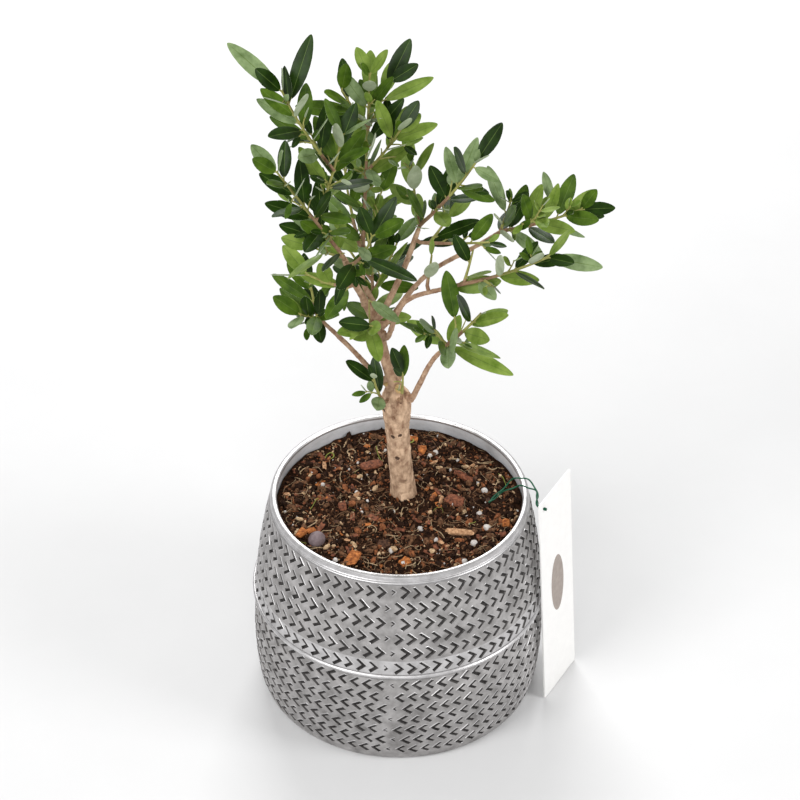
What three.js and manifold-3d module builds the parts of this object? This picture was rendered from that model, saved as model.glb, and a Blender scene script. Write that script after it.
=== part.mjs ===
// A young olive tree in a round metal-look planter, with a card label on a wire tie.
// Millimetres, +Z up. The origin is the centre of the planter's flat underside.
import * as THREE from 'three';
import { mergeVertices } from 'three/addons/utils/BufferGeometryUtils.js';
import Module from 'manifold-3d';

const wasm = await Module();
wasm.setup();

// ---------- driving sizes ----------
const GAP = 0.3;                 // air between pieces that touch

const POT_HEIGHT = 123.8;
const RIM_RADIUS = 68;
const RIM_WALL = 3.2;
const LIP_RADIUS = 78.2;         // the smooth lip round the pot's middle
const LIP_HEIGHT = 63.4;
const GROOVE_RADIUS = 75.3;      // the step in under that lip
const BELLY_RADIUS = 77.2;
const BELLY_HEIGHT = 38;
const FOOT_RADIUS = 70;
const FLOOR_THICKNESS = 5;
const POT_SIDES = 32;

const SOIL_LEVEL = 116.2;
const SOIL_MOUND = 1.2;          // how much lower the soil lies at the wall

const LEAF_LENGTH = 28;          // a full grown leaf
const LEAF_SLIMNESS = 2.9;       // its length over its width
const LONG_SLIMMING = 0.7;       // how fast longer leaves grow slimmer still
const LEAF_THICKNESS = 0.55;
const SMALLEST_LEAF = 15;        // what would grow shorter is left out
const NODE_SPACING = 9;          // from one pair of leaves to the next
const TWIG_RADIUS = 1.05;
const TWIG_TIP_RADIUS = 0.55;
const CROWN_CLEARANCE = 0.7;     // air kept between foliage masses, and to limbs
const CROWN_FLOOR = 132;         // no leaf hangs lower than this

const TAG_WIDTH = 36;
const TAG_HEIGHT = 132;
const TAG_THICKNESS = 0.8;
const TAG_HOLE_RADIUS = 1.8;
const TAG_HEADING = 62;          // compass line of the card's foot, degrees
const TAG_LEAN = 3.4;            // degrees, in against the pot's lip
const TAG_CORNER = new THREE.Vector3(79.2, -23.5, GAP);
const TIE_RADIUS = 0.6;

const COLOURS = {
  pot: 0x9a9c9e, soil: 0x3b2418, bark: 0x9c8468, bough: 0x8a6a52,
  leaf: 0x2f5a2a, card: 0xf4f1ea, tie: 0x1f5a3c,
};

// ---------- small helpers ----------
const root = new THREE.Group();
const radians = THREE.MathUtils.degToRad;
const vector = (x, y, z) => new THREE.Vector3(x, y, z);

function addPiece(name, geometry, colour, roughness = 0.8, metalness = 0) {
  const material = new THREE.MeshStandardMaterial({ color: colour, roughness, metalness });
  const mesh = new THREE.Mesh(geometry, material);
  mesh.name = name;
  root.add(mesh);
  return mesh;
}

// Heading 0 points along +X and 90 along +Y; rise is the angle above level.
function direction(heading, rise) {
  const level = Math.cos(radians(rise));
  return vector(
    level * Math.cos(radians(heading)),
    level * Math.sin(radians(heading)),
    Math.sin(radians(rise)),
  );
}

// The part of a vector that stands square to an axis, one unit long.
function squareTo(axis, v) {
  return v.clone().addScaledVector(axis, -v.dot(axis)).normalize();
}

function seededRandom(seed) {
  let state = seed * 2654435761 % 4294967296;
  return () => {
    state = (Math.imul(state, 1664525) + 1013904223) >>> 0;
    return state / 4294967296;
  };
}

function solidOf(geometry) {
  const plain = geometry.clone();
  plain.deleteAttribute('normal');
  plain.deleteAttribute('uv');
  const merged = mergeVertices(plain, 1e-4);
  const corners = merged.index.array;
  const whole = [];              // without the triangles that closed up at a point
  for (let i = 0; i < corners.length; i += 3) {
    const [a, b, c] = corners.slice(i, i + 3);
    if (a !== b && b !== c && c !== a) whole.push(a, b, c);
  }
  return new wasm.Manifold(new wasm.Mesh({
    numProp: 3,
    vertProperties: new Float32Array(merged.attributes.position.array),
    triVerts: new Uint32Array(whole),
  }));
}

// The largest body of a fused solid: a sealed hollow is filled, a loose scrap dropped.
function largestBody(solid) {
  return solid.decompose().reduce((a, b) => (b.volume() > a.volume() ? b : a));
}

function geometryOf(solid) {
  const mesh = solid.getMesh();
  const geometry = new THREE.BufferGeometry();
  geometry.setAttribute('position', new THREE.BufferAttribute(mesh.vertProperties.slice(), 3));
  geometry.setIndex(new THREE.BufferAttribute(mesh.triVerts.slice(), 1));
  geometry.computeVertexNormals();
  return geometry;
}

// ---------- pot ----------
function turned(profile) {
  const points = profile.map(([r, z]) => new THREE.Vector2(r, z));
  const geometry = new THREE.LatheGeometry(points, POT_SIDES);
  return geometry.rotateX(Math.PI / 2);
}

const BEAD_HEIGHT = 1.5;         // how far the rounded lip reaches above and below its middle
const FLARE_HEIGHT = 9;          // the last flare out to the lip
const FLARE_RADIUS = 76;
const RIM_ROUNDING = 1.2;
const BAND_BULGE = 0.9;          // how far the upper wall swells past straight, at its middle

const potInside = [
  [RIM_RADIUS - RIM_WALL, POT_HEIGHT - RIM_ROUNDING],
  [FLARE_RADIUS - RIM_WALL, LIP_HEIGHT + FLARE_HEIGHT],
  [GROOVE_RADIUS - RIM_WALL, LIP_HEIGHT - FLARE_HEIGHT],
  [GROOVE_RADIUS - RIM_WALL, BELLY_HEIGHT / 2],
  [FOOT_RADIUS - RIM_WALL, FLOOR_THICKNESS],
];

const POT_WALL = [
  [0, 0],
  [FOOT_RADIUS, 0],
  [FOOT_RADIUS + 2.4, 2],
  [FOOT_RADIUS + 4.2, BELLY_HEIGHT / 4],
  [BELLY_RADIUS, BELLY_HEIGHT],
  [BELLY_RADIUS - 0.6, LIP_HEIGHT - FLARE_HEIGHT],
  [GROOVE_RADIUS, LIP_HEIGHT - 2 * BEAD_HEIGHT],
  [LIP_RADIUS - BEAD_HEIGHT / 2, LIP_HEIGHT - BEAD_HEIGHT],
  [LIP_RADIUS, LIP_HEIGHT],
  [LIP_RADIUS - BEAD_HEIGHT / 2, LIP_HEIGHT + BEAD_HEIGHT],
  [FLARE_RADIUS, LIP_HEIGHT + FLARE_HEIGHT],
  [(FLARE_RADIUS + RIM_RADIUS) / 2 + BAND_BULGE, (LIP_HEIGHT + FLARE_HEIGHT + POT_HEIGHT) / 2],
  [RIM_RADIUS + 0.2, POT_HEIGHT - 2 * RIM_ROUNDING],
  [RIM_RADIUS - RIM_ROUNDING / 2, POT_HEIGHT - RIM_ROUNDING / 4],
  [RIM_RADIUS - RIM_WALL / 2, POT_HEIGHT],
  ...potInside,
  [0, FLOOR_THICKNESS],
];

// Chevrons cut in the wall, a few of the many: four rows of them, each row standing between
// those of the next. They point one way above the lip and back below it.
const CHEVRON_COLUMNS = 8;
const CHEVRON_WIDTH = 5;
const CHEVRON_HEIGHT = 7;
const CHEVRON_STROKE = 2.2;      // measured level
const CHEVRON_DEPTH = 0.8;
const CHEVRON_PROUD = 0.5;       // how far the cutter stands out of the wall
const FLATS_APART = POT_SIDES / CHEVRON_COLUMNS;
const CHEVRON_ROWS = [
  { z: 17.3, between: 1, pointing: -1 },
  { z: 48.1, between: 0, pointing: -1 },
  { z: 77.7, between: 1, pointing: 1 },
  { z: 105.3, between: 0, pointing: 1 },
];

// The outer wall's radius at a height, on the flat side of its polygon.
function wallRadius(z) {
  const next = POT_WALL.findIndex(([, height], i) => i > 0 && height >= z);
  const [r0, z0] = POT_WALL[next - 1];
  const [r1, z1] = POT_WALL[next];
  return THREE.MathUtils.mapLinear(z, z0, z1, r0, r1) * Math.cos(Math.PI / POT_SIDES);
}

// A chevron-shaped wedge, its mouth to +Z: rim points 0 to 5, then its keel 6 to 8.
function chevronWedge() {
  const keel = [[-0.5, 0.5], [0.5, 0], [-0.5, -0.5]]
    .map(([x, y]) => [x * CHEVRON_WIDTH, y * CHEVRON_HEIGHT]);
  const half = CHEVRON_STROKE / 2 * (1 + CHEVRON_PROUD / CHEVRON_DEPTH);
  const mouth = [
    ...keel.map(([x, y]) => [x + half, y, CHEVRON_PROUD]),
    ...keel.map(([x, y]) => [x - half, y, CHEVRON_PROUD]).reverse(),
  ];
  const points = [...mouth, ...keel.map(([x, y]) => [x, y, -CHEVRON_DEPTH])].flat();
  const geometry = new THREE.BufferGeometry();
  geometry.setAttribute('position', new THREE.Float32BufferAttribute(points, 3));
  geometry.setIndex([
    0, 5, 4, 0, 4, 1, 1, 4, 3, 1, 3, 2, 0, 1, 7, 0, 7, 6, 1, 2, 8, 1, 8, 7,
    3, 4, 7, 3, 7, 8, 4, 5, 6, 4, 6, 7, 2, 3, 8, 5, 0, 6,
  ]);
  return geometry;
}

let potBody = solidOf(turned(POT_WALL));
for (const { z, between, pointing } of CHEVRON_ROWS) {
  const slope = Math.atan2(wallRadius(z - 1) - wallRadius(z + 1), 2);
  for (let column = 0; column < CHEVRON_COLUMNS; column++) {
    const flat = FLATS_APART * (column + between / 2) + 0.5;
    const turn = 2 * Math.PI * flat / POT_SIDES;
    const wedge = chevronWedge();
    if (pointing < 0) wedge.rotateZ(Math.PI);
    wedge.rotateX(Math.PI / 2 - slope).rotateZ(Math.PI / 2 + turn);
    wedge.translate(wallRadius(z) * Math.cos(turn), wallRadius(z) * Math.sin(turn), z);
    potBody = potBody.subtract(solidOf(wedge));
  }
}
addPiece('pot', geometryOf(potBody), COLOURS.pot, 0.4, 0.7);

// ---------- soil ----------
// It fills the pot to a little under the rim, and lies lower at the wall.
const SOIL_GAP = 2 * GAP;        // wider, as the flat sides of both lean
const soilSide = potInside.slice(1, -1).reverse().map(([radius, z]) => [radius - SOIL_GAP, z]);
addPiece('soil', turned([
  [0, FLOOR_THICKNESS + SOIL_GAP],
  [FOOT_RADIUS - RIM_WALL - SOIL_GAP, FLOOR_THICKNESS + SOIL_GAP],
  ...soilSide,
  [RIM_RADIUS - RIM_WALL, SOIL_LEVEL - SOIL_MOUND],
  [RIM_RADIUS * 0.7, SOIL_LEVEL],
  [0, SOIL_LEVEL],
]), COLOURS.soil, 1);

// ---------- limbs ----------
// Each limb is a cylinder bent along a smooth curve, its radius given along it.
function bentCylinder(curve, radiusAt, sides, steps) {
  const geometry = new THREE.CylinderGeometry(1, 1, 1, sides, steps);
  const frames = curve.computeFrenetFrames(steps);
  const position = geometry.attributes.position;
  for (let i = 0; i < position.count; i++) {
    const ring = Math.round((position.getY(i) + 0.5) * steps);
    const radius = radiusAt(ring / steps);
    const point = curve.getPointAt(ring / steps)
      .addScaledVector(frames.binormals[ring], radius * position.getX(i))
      .addScaledVector(frames.normals[ring], radius * position.getZ(i));
    position.setXYZ(i, point.x, point.y, point.z);
  }
  geometry.computeVertexNormals();
  return geometry;
}

// A radius read off a short list of [place along, radius] steps.
function stepped(list) {
  return (t) => {
    const next = Math.max(1, list.findIndex(([place]) => place >= t));
    const [t0, r0] = list[next - 1];
    const [t1, r1] = list[next];
    return THREE.MathUtils.lerp(r0, r1, (t - t0) / (t1 - t0));
  };
}

const limbs = {};
const LIMB_STEP = 9;
const LEAD_IN = 2.2;             // a limb's first straight stretch, square to its seat

// lead is the way the limb sets off, square to the face that carries it.
function addLimb(name, start, lead, points, radiusAt, sides, colour) {
  const path = [start, start.clone().addScaledVector(lead, LEAD_IN), ...points];
  const curve = new THREE.CatmullRomCurve3(path, false, 'catmullrom');
  const steps = Math.max(3, Math.round(curve.getLength() / LIMB_STEP));
  const geometry = bentCylinder(curve, radiusAt, sides, steps);
  limbs[name] = { curve, radiusAt, path: curve.getSpacedPoints(steps) };
  return addPiece(name, geometry, colour, 0.85);
}

// Where a limb ends, and the seat there for what grows on.
function tipSeat(name) {
  const { curve } = limbs[name];
  const lead = curve.getTangentAt(1);
  return { start: curve.getPointAt(1).addScaledVector(lead, GAP), lead };
}

// A seat on a limb's side, facing the given way.
function sideSeat(name, along, heading, rise) {
  const { curve, radiusAt } = limbs[name];
  const lead = squareTo(curve.getTangentAt(along), direction(heading, rise));
  const reach = radiusAt(along) + GAP;
  return { start: curve.getPointAt(along).addScaledVector(lead, reach), lead };
}

// Trunk: leans a little left, flares at the soil, swells at its old pruned head.
const TRUNK_FOOT = vector(2, 8, SOIL_LEVEL + GAP);
const trunkRadius = stepped([
  [0, 7.1], [0.08, 6.7], [0.22, 6.3], [0.5, 6.1], [0.68, 6.5], [0.84, 7.9], [0.93, 7.3], [1, 4.6],
]);
addLimb('trunk', TRUNK_FOOT, vector(0, 0, 1), [
  vector(-0.2, 7.2, 142), vector(-1.8, 6.2, 166), vector(-2.4, 6, 180), vector(-3.6, 6, 190),
], trunkRadius, 14, COLOURS.bark);

// Upper trunk: the leader that carries the crown, up and to the left.
const fork = tipSeat('trunk');
addLimb('upper_trunk', fork.start, fork.lead, [
  vector(-8, 6, 208), vector(-12, 7, 227), vector(-19, 8, 244),
], stepped([[0, 3.6], [0.15, 2.9], [1, 2.1]]), 10, COLOURS.bough);

// Boughs: the seat on what carries them, the points they pass, and their two radii.
const boughs = [
  ['left_bough', tipSeat('upper_trunk'),
    [vector(-25, 2, 262), vector(-29, -4, 279)], 1.8, 1.5],
  ['centre_bough', sideSeat('upper_trunk', 0.9, 80, 50),
    [vector(-20, 17, 250), vector(-20, 19, 266)], 1.5, 1.35],
  ['upright_bough', sideSeat('upper_trunk', 0.8, 20, 40),
    [vector(0, 12, 259), vector(8, 18, 282)], 1.7, 1.3],
  ['right_bough', sideSeat('upper_trunk', 0.68, 30, 10),
    [vector(12, 14, 256), vector(37, 19, 271), vector(48, 22, 277)], 1.4, 1.1],
  ['right_low_bough', sideSeat('upper_trunk', 0.6, -30, 10),
    [vector(2, 0, 250), vector(24, -5, 263)], 1.4, 1.15],
  ['low_right_bough', sideSeat('trunk', 0.93, -25, 30),
    [vector(15, -6, 215), vector(23, -13, 232)], 1.6, 1.1],
  ['low_left_bough', sideSeat('upper_trunk', 0.08, 170, 0),
    [vector(-27, 9, 214), vector(-41, 12, 228)], 1.5, 1.1],
];
const BOUGH_SIDES = 7;
const COLLAR = 1.15;             // how much wider a bough is where it leaves its parent
const COLLAR_END = 0.12;
for (const [name, seat, points, foot, tip] of boughs) {
  const radiusAt = stepped([[0, foot * COLLAR], [COLLAR_END, foot], [1, tip]]);
  addLimb(name, seat.start, seat.lead, points, radiusAt, BOUGH_SIDES, COLOURS.bough);
}

// ---------- foliage ----------
// Each mass grows from one stem. heading and rise say how the stem sets off, lift how far it
// turns up on its way, bare how much of it has no leaves, roll the turn of its first pair,
// leaf and tip the size of its leaves and of its last pair. side lists the shoots that
// branch off: [shoot it leaves (0 is the stem), place along, heading, rise, length], and
// far the leaves that reach furthest out: [shoot, place along, heading, rise, length].
const masses = [
  { name: 'left_foliage', seat: tipSeat('left_bough'),
    heading: 211, rise: 60, length: 74, lift: 0, bare: 0, leaf: 0.85, tip: 0.8, roll: 60, seed: 7,
    side: [[0, 0.5, 25, 66, 50], [1, 0.6, 194, 56, 56], [0, 0.08, 205, 25, 20],
      [0, 0.3, 270, 40, 20]],
    far: [[2, 1, 150, 31, 36], [2, 0.85, 64, 49, 36], [2, 0.6, 160, 22, 25], [0, 1, 147, 34, 19],
      [0, 0.92, 88, 52, 20], [0, 0.3, 161, 33, 33]] },
  { name: 'centre_foliage', seat: tipSeat('centre_bough'),
    heading: 78, rise: 82, length: 98, lift: 0, bare: 0, leaf: 0.95, tip: 0.6, roll: 0, seed: 12,
    side: [[0, 0.5, -10, 50, 32], [0, 0.72, 45, 48, 26], [0, 0.74, 175, 48, 24],
      [0, 0.2, -40, 40, 20]],
    far: [[2, 0.9, 52, 45, 27], [2, 0.6, 16, 19, 29], [1, 0.7, 98, 51, 28], [1, 0.95, 30, 30, 15]] },
  { name: 'front_foliage', seat: sideSeat('left_bough', 0.97, 300, 10),
    heading: 305, rise: 38, length: 36, lift: 30, bare: 0, leaf: 1.1, tip: 0.8, roll: 60, seed: 7,
    side: [],
    far: [] },
  { name: 'centre_back_foliage', seat: sideSeat('centre_bough', 0.95, 100, 10),
    heading: 110, rise: 30, length: 44, lift: 35, bare: 0, leaf: 1, tip: 0.8, roll: 60, seed: 2,
    side: [[0, 0.3, 60, 30, 28]],
    far: [] },
  { name: 'upright_foliage', seat: tipSeat('upright_bough'),
    heading: -14, rise: 50, length: 52, lift: 12, bare: 0, leaf: 0.9, tip: 0.7, roll: 0, seed: 6,
    side: [[0, 0.08, 110, 60, 34]],
    far: [[0, 1, 44, 41, 24], [0, 0.7, 115, 49, 21], [0, 0.95, -17, -20, 15], [0, 0.7, -12, -15, 20]] },
  { name: 'middle_foliage', seat: sideSeat('upright_bough', 0.9, -30, 10),
    heading: -14, rise: 6, length: 36, lift: 8, bare: 0, leaf: 0.9, tip: 0.9, roll: 0, seed: 6,
    side: [[0, 0.3, 50, 20, 16]],
    far: [[1, 0.9, -9, 13, 31]] },
  { name: 'right_foliage', seat: tipSeat('right_bough'),
    heading: 4, rise: 8, length: 42, lift: 14, bare: 0, leaf: 0.8, tip: 0.7, roll: 0, seed: 6,
    side: [[0, 0.12, 60, 40, 16], [0, 0.4, -50, 40, 18], [0, 0.6, 50, 40, 12]],
    far: [[0, 0.75, 58, 47, 24], [0, 0.9, -3, -4, 17], [0, 0.3, 63, 48, 24], [0, 0.1, -82, -24, 22]] },
  { name: 'right_low_foliage', seat: tipSeat('right_low_bough'),
    heading: -12, rise: 20, length: 54, lift: 14, bare: 0.3, leaf: 0.7, tip: 0.8, roll: 30, seed: 12,
    side: [[0, 0.04, -80, -50, 20], [0, 0.42, -60, 5, 12], [0, 0.25, 60, 50, 18]],
    far: [[0, 1, -5, -7, 28], [0, 0.6, -9, -11, 13], [1, 0.9, 116, 65, 27], [1, 0.05, -3, 14, 26]] },
  { name: 'under_foliage', seat: sideSeat('right_low_bough', 0.8, 90, 60),
    heading: 70, rise: 60, length: 16, lift: 10, bare: 0.2, leaf: 0.7, tip: 0.9, roll: 0, seed: 13,
    side: [],
    far: [[0, 0.3, 34, 36, 24]] },
  { name: 'low_right_foliage', seat: tipSeat('low_right_bough'),
    heading: -30, rise: 50, length: 32, lift: 8, bare: 0, leaf: 1, tip: 0.9, roll: 0, seed: 8,
    side: [[0, 0.05, 210, 50, 14]],
    far: [[0, 0.05, -15, -19, 37], [0, 0.05, 160, 23, 28], [0, 0.1, 86, 52, 16], [0, 0.7, 5, 24, 31]] },
  { name: 'low_left_foliage', seat: tipSeat('low_left_bough'),
    heading: 120, rise: 55, length: 20, lift: 10, bare: 0, leaf: 0.9, tip: 0.8, roll: 0, seed: 8,
    side: [[0, 0.1, 215, 25, 14], [0, 0.2, 265, 35, 16]],
    far: [[0, 0.8, 140, 35, 20], [1, 0.9, 157, 27, 16]] },
  { name: 'crotch_foliage', seat: sideSeat('left_bough', 0.4, 200, 20),
    heading: 185, rise: 5, length: 22, lift: 25, bare: 0, leaf: 1, tip: 0.8, roll: 0, seed: 11,
    side: [],
    far: [[0, 0.4, 171, 11, 23]] },
  { name: 'inner_foliage', seat: sideSeat('upper_trunk', 0.8, 250, 10),
    heading: 255, rise: 10, length: 10, lift: 20, bare: 0.3, leaf: 0.8, tip: 0.9, roll: 0, seed: 11,
    side: [],
    far: [[0, 0.6, 179, 1, 17]] },
  { name: 'basal_left_foliage', seat: sideSeat('trunk', 0.95, 235, 10),
    heading: 238, rise: 48, length: 26, lift: 25, bare: 0.4, leaf: 0.7, tip: 0.7, roll: 0, seed: 11,
    side: [],
    far: [[0, 0.9, 171, 40, 27], [0, 0.9, 94, 52, 26], [0, 0.9, 155, 28, 26], [0, 0.4, 166, 16, 13]] },
  { name: 'basal_right_foliage', seat: sideSeat('trunk', 0.95, 290, 10),
    heading: 278, rise: 55, length: 24, lift: 25, bare: 0.25, leaf: 0.7, tip: 0.7, roll: 30, seed: 8,
    side: [],
    far: [[0, 0.9, 88, 52, 21], [0, 0.5, 40, 40, 14]] },
  { name: 'back_foliage', seat: sideSeat('upper_trunk', 0.75, 100, 10),
    heading: 95, rise: 20, length: 50, lift: 40, bare: 0, leaf: 1, tip: 0.8, roll: 60, seed: 12,
    side: [[0, 0.4, 50, 40, 28], [0, 0.5, 150, 40, 26]],
    far: [] },
];

const STEM_STEP = 10;
const SIDE_SHOOT_LIFT = 12;
const SIDE_SHOOT_SLIMNESS = 0.8;

// The way points of a shoot, one every STEM_STEP, turning up as it goes.
function shootPath(start, heading, rise, length, lift) {
  const steps = Math.max(2, Math.round(length / STEM_STEP));
  const path = [start.clone()];
  for (let i = 1; i <= steps; i++) {
    const way = direction(heading, rise + lift * i / steps);
    path.push(path[i - 1].clone().addScaledVector(way, length / steps));
  }
  return path;
}

function pointOn(path, along) {
  const place = Math.min(along, 0.9999) * (path.length - 1);
  const i = Math.floor(place);
  const way = path[i + 1].clone().sub(path[i]);
  return { point: path[i].clone().addScaledVector(way, place - i), way: way.normalize() };
}

// Every mass first gets its shoots, so that each knows the space nearer to itself.
for (const mass of masses) {
  const { start, lead } = mass.seat;
  const first = start.clone().addScaledVector(lead, LEAD_IN);
  const main = shootPath(first, mass.heading, mass.rise, mass.length, mass.lift);
  mass.shoots = [{ path: [start, ...main], length: mass.length, bare: mass.bare, radius: TWIG_RADIUS }];
  for (const [from, along, heading, rise, length] of mass.side) {
    const { point } = pointOn(mass.shoots[from].path, along);
    const path = shootPath(point, heading, rise, length, SIDE_SHOOT_LIFT);
    mass.shoots.push({ path, length, bare: 0, radius: TWIG_RADIUS * SIDE_SHOOT_SLIMNESS });
  }
}

function distanceToPath(point, path) {
  const nearest = new THREE.Vector3();
  const segment = new THREE.Line3();
  let best = Infinity;
  for (let i = 1; i < path.length; i++) {
    segment.set(path[i - 1], path[i]).closestPointToPoint(point, true, nearest);
    best = Math.min(best, nearest.distanceTo(point));
  }
  return best;
}

function distanceToMass(point, mass) {
  return Math.min(...mass.shoots.map(({ path }) => distanceToPath(point, path)));
}

function touchesLimb(point) {
  return Object.values(limbs).some(({ path, radiusAt }) => (
    distanceToPath(point, path) < Math.max(radiusAt(0), radiusAt(0.84)) + CROWN_CLEARANCE
  ));
}

function inOwnSpace(point, mass) {
  if (point.z < CROWN_FLOOR || touchesLimb(point)) return false;
  const own = distanceToMass(point, mass) + CROWN_CLEARANCE;
  return masses.every((other) => other === mass || distanceToMass(point, other) > own);
}

// A blade is a flat lozenge: its root, the way it points, across it and its face. Its corners
// stand at these shares of its length and width.
const BLADE_CORNERS = [[0.12, 0], [0.3, 0.36], [0.6, 0.48], [1, 0], [0.6, -0.48], [0.3, -0.36]];
function cornersOf({ base, way, across, length, width }) {
  return BLADE_CORNERS.map(([along, aside]) => base.clone()
    .addScaledVector(way, along * length).addScaledVector(across, aside * width));
}

// Whether an edge of one blade passes through the oval of the other.
const OVAL_MARGIN = 1.1;         // over 1, so that they also keep a little apart
function cuts(blade, other) {
  return blade.corners.some((start, i) => {
    const end = blade.corners[(i + 1) % blade.corners.length];
    const from = start.clone().sub(other.base);
    const to = end.clone().sub(other.base);
    const above = from.dot(other.face);
    const below = to.dot(other.face);
    if (above * below > 0) return false;
    const hit = from.lerp(to, above / (above - below));
    const u = 2 * hit.dot(other.way) / other.length - 1;
    const v = 2 * hit.dot(other.across) / other.width;
    return u * u + v * v < OVAL_MARGIN;
  });
}

const lightWay = vector(0, -0.45, 1);
const TWIG_SHARE = 0.4;          // how far a leaf's face leans to its twig and not to the light
const blades = [];

// One blade, or nothing where it would leave its mass's space or cut another blade.
function growBlade(mass, point, way, twigWay, length, roll) {
  if (length < SMALLEST_LEAF) return null;
  const skyward = twigWay.clone().multiplyScalar(TWIG_SHARE).add(lightWay);
  const face = squareTo(way, skyward).applyAxisAngle(way, roll);
  const across = new THREE.Vector3().crossVectors(way, face);
  const width = length / LEAF_SLIMNESS * (LEAF_LENGTH / length) ** LONG_SLIMMING;
  const blade = { base: point, way, across, face, length, width };
  blade.corners = cornersOf(blade);
  if (!blade.corners.every((corner) => inOwnSpace(corner, mass))) return null;
  if (blades.some((other) => cuts(blade, other) || cuts(other, blade))) return null;
  blades.push(blade);
  return blade;
}

// What is tried in turn for a leaf until it has room: [share of its length, extra roll].
const TRIES = [[1, 0], [1, 0.7], [0.85, -0.7], [0.7, 0.2], [0.6, -0.4]];
function growLeaf(mass, point, way, twigWay, length, roll) {
  for (const [size, turn] of TRIES) {
    const blade = growBlade(mass, point, way, twigWay, length * size, roll + turn);
    if (blade) return [blade];
  }
  return [];
}

// The growing rule: pairs of leaves up a shoot, each pair turned a quarter from the last,
// longest at the middle, opening wide below and closing towards the tip.
const OPEN_BELOW = 66;
const OPEN_ABOVE = 32;
const TURN_SPREAD = 30;
const OPEN_SPREAD = 0.35;
const ROLL_SPREAD = 0.9;
const LEAST_FULL = 0.7;          // how long leaves are at a shoot's ends, and
const FULL_RISE = 0.4;           // how much longer at its middle
const SHORTEST = 0.86;
const LENGTH_SPREAD = 0.28;
function growPairs(mass, shoot, random) {
  const grown = [];
  const count = Math.max(1, Math.round(shoot.length * (1 - shoot.bare) / NODE_SPACING));
  for (let k = 0; k <= count; k++) {
    const share = (k + 0.5) / (count + 0.5);
    const { point, way } = pointOn(shoot.path, shoot.bare + (1 - shoot.bare) * share);
    const fullness = k === count ? mass.tip : LEAST_FULL + FULL_RISE * Math.sin(Math.PI * share);
    const spread = radians(THREE.MathUtils.lerp(OPEN_BELOW, OPEN_ABOVE, share));
    const aside = squareTo(way, vector(0, -1, 0.01));
    const quarter = radians(mass.roll + 90 * k + (random() - 0.5) * TURN_SPREAD);
    for (const side of [0, Math.PI]) {
      const open = spread + (random() - 0.5) * OPEN_SPREAD;
      const out = aside.clone().applyAxisAngle(way, quarter + side);
      const leafWay = way.clone().multiplyScalar(Math.cos(open)).addScaledVector(out, Math.sin(open));
      const length = LEAF_LENGTH * mass.leaf * fullness * (SHORTEST + LENGTH_SPREAD * random());
      const roll = (random() - 0.5) * ROLL_SPREAD;
      grown.push(...growLeaf(mass, point, leafWay, way, length, roll));
    }
  }
  return grown;
}

// A leaf's solid: a three-sided spindle from a neck sunk in the twig to a pointed tip.
const LEAF_NECK = 0.9;
const LEAF_RINGS = [[0, 0], [0.3, 0.86], [0.66, 0.9], [1, 0]];  // place along, share of width
function leafGeometry({ base, way, across, face, length, width }) {
  const steps = LEAF_RINGS.length - 1;
  const geometry = new THREE.CylinderGeometry(0, 1, 1, 3, steps);
  const position = geometry.attributes.position;
  for (let i = 0; i < position.count; i++) {
    const ring = Math.round((position.getY(i) + 0.5) * steps);
    const tip = ring === steps;
    const [along, share] = LEAF_RINGS[ring];
    const wide = tip ? 0 : Math.max(LEAF_NECK, share * width) / Math.sqrt(3);
    const thick = tip ? 0 : LEAF_THICKNESS / 1.5;
    const corner = tip ? 0 : Math.sign(Math.round(position.getX(i) * 10));
    const keel = Math.round(position.getZ(i) * 10) > 0 ? 1 : -0.5;
    position.setXYZ(i, corner * wide * Math.sqrt(3) / 2, along * length, tip ? 0 : keel * thick);
  }
  return geometry.applyMatrix4(new THREE.Matrix4().makeBasis(across, way, face).setPosition(base));
}

const TWIG_SIDES = 3;
for (const mass of masses) {
  mass.blades = mass.far.flatMap(([shoot, along, heading, rise, length]) => {
    const { point, way } = pointOn(mass.shoots[shoot].path, along);
    return growLeaf(mass, point, direction(heading, rise), way, length, 0);
  });
}
for (const mass of masses) {
  const random = seededRandom(mass.seed);
  mass.blades.push(...mass.shoots.flatMap((shoot) => growPairs(mass, shoot, random)));
}
for (const mass of masses) {
  const twigs = mass.shoots.map(({ path, radius }) => {
    const curve = new THREE.CatmullRomCurve3(path, false, 'catmullrom');
    const taper = (t) => THREE.MathUtils.lerp(radius, TWIG_TIP_RADIUS, t);
    return bentCylinder(curve, taper, TWIG_SIDES, path.length - 1);
  });
  const [stem, ...rest] = [...twigs, ...mass.blades.map(leafGeometry)].map(solidOf);
  const fused = rest.reduce((solid, piece) => solid.add(piece), stem);
  addPiece(mass.name, geometryOf(largestBody(fused)), COLOURS.leaf, 0.6);
}

// ---------- label and tie ----------
// A stiff card that stands on its foot and leans on the pot's lip.
const cardShape = new THREE.Shape();
cardShape.moveTo(0, 0).lineTo(TAG_WIDTH, 0);
cardShape.lineTo(TAG_WIDTH, TAG_HEIGHT).lineTo(0, TAG_HEIGHT).lineTo(0, 0);
const tagHole = new THREE.Path();
const HOLE_INSET = 5;
tagHole.absarc(HOLE_INSET, TAG_HEIGHT - HOLE_INSET, TAG_HOLE_RADIUS, 0, 2 * Math.PI, true);
cardShape.holes.push(tagHole);
const card = new THREE.ExtrudeGeometry(cardShape, {
  depth: TAG_THICKNESS, bevelEnabled: false, curveSegments: 10,
});
const alongFoot = direction(TAG_HEADING, 0);
const outward = direction(TAG_HEADING - 90, 0);
const upCard = vector(0, 0, 1).multiplyScalar(Math.cos(radians(TAG_LEAN)))
  .addScaledVector(outward, -Math.sin(radians(TAG_LEAN)));
const cardFace = new THREE.Vector3().crossVectors(alongFoot, upCard);
const cardPlace = new THREE.Matrix4().makeBasis(alongFoot, upCard, cardFace).setPosition(TAG_CORNER);
addPiece('label_card', card.applyMatrix4(cardPlace), COLOURS.card, 0.6);

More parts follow.
